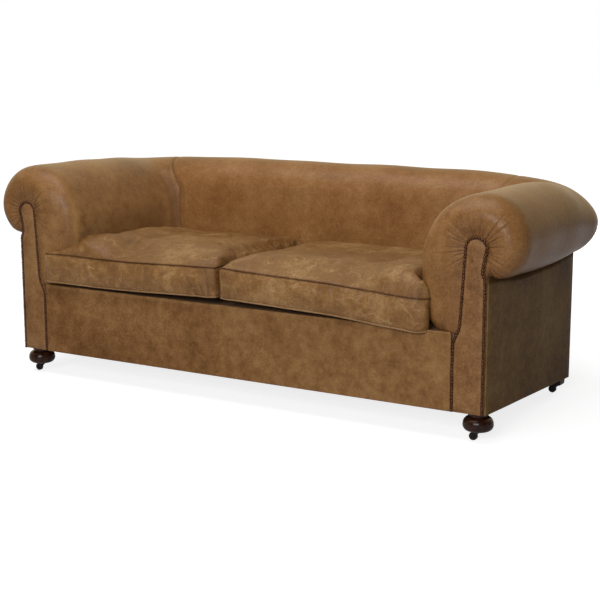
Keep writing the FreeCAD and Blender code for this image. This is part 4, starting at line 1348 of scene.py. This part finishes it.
def makeFloor():
    bpy.ops.object.select_all(action="DESELECT")
    bpy.ops.mesh.primitive_plane_add(size=stage["size"], location=(0, 0, stage["sunk"]))
    floor = placed()
    floor.name = "paleFloor"
    material = bpy.data.materials.new("paleFloor")
    material.use_nodes = True
    tree = material.node_tree
    tree.nodes.clear()
    dull = node(tree, "ShaderNodeBsdfDiffuse", Color=(stage["floor"], stage["floor"], stage["floor"], 1))
    glow = node(tree, "ShaderNodeEmission", Color=(1, 1, 1, 1))
    spot = tree.nodes.new("ShaderNodeTexCoord")
    away = node(tree, "ShaderNodeVectorMath", operation="LENGTH")
    join(tree, spot, "Object", away, "Vector")
    white = remap(tree, away.outputs["Value"], stage["near"], stage["far"], stage["nearGlow"], 1.0)
    path = tree.nodes.new("ShaderNodeLightPath")
    seen = mathNode(tree, "MAXIMUM", path.outputs["Is Camera Ray"], path.outputs["Is Transmission Ray"])
    sheen = mathNode(tree, "MULTIPLY", path.outputs["Is Glossy Ray"], stage["sheenGlow"])
    seen = mathNode(tree, "MAXIMUM", seen, sheen)
    tree.links.new(mathNode(tree, "MULTIPLY", seen, white), glow.inputs["Strength"])
    both = tree.nodes.new("ShaderNodeAddShader")
    end = tree.nodes.new("ShaderNodeOutputMaterial")
    join(tree, dull, "BSDF", both, 0)
    join(tree, glow, "Emission", both, 1)
    join(tree, both, "Shader", end, "Surface")
    floor.data.materials.append(material)


# white to the camera, a white backdrop behind and a dim room beside it in reflections
def makeWorld():
    world = bpy.data.worlds.new("surround")
    scene.world = world
    world.use_nodes = True
    tree = world.node_tree
    sky = tree.nodes["Background"]
    path = tree.nodes.new("ShaderNodeLightPath")
    tint = mixNode(tree, path.outputs["Is Glossy Ray"], (1, 1, 1, 1), stage["sheen"])
    tree.links.new(tint, sky.inputs["Color"])
    way = tree.nodes.new("ShaderNodeTexCoord")
    toward = node(tree, "ShaderNodeVectorMath", operation="DOT_PRODUCT")
    join(tree, way, "Generated", toward, 0)
    toward.inputs[1].default_value = stage["backdrop"]
    mirrored = remap(tree, toward.outputs["Value"], stage["backdropFrom"], stage["backdropTo"],
                     stage["room"], 1.0)
    seen = mathNode(tree, "MAXIMUM", path.outputs["Is Camera Ray"], path.outputs["Is Transmission Ray"])
    sheen = mathNode(tree, "MULTIPLY", path.outputs["Is Glossy Ray"], mirrored)
    shown = mathNode(tree, "MAXIMUM", seen, sheen)
    tree.links.new(mathNode(tree, "MAXIMUM", shown, stage["fill"]), sky.inputs["Strength"])


def softLamp(name, place, power, width, height):
    lamp = bpy.data.lights.new(name, "AREA")
    lamp.shape = "RECTANGLE"
    lamp.size = width
    lamp.size_y = height
    lamp.energy = power
    holder = bpy.data.objects.new(name, lamp)
    scene.collection.objects.link(holder)
    holder.visible_glossy = name != "rearLamp"  # the rear fill leaves no glare on the rolls
    holder.location = place
    holder.rotation_mode = "QUATERNION"
    holder.rotation_quaternion = (Vector(stage["aim"]) - Vector(place)).to_track_quat("-Z", "Y")


makeFloor()
makeWorld()
for name, values in lamps.items():
    softLamp(name, *values)
print("stage lit")
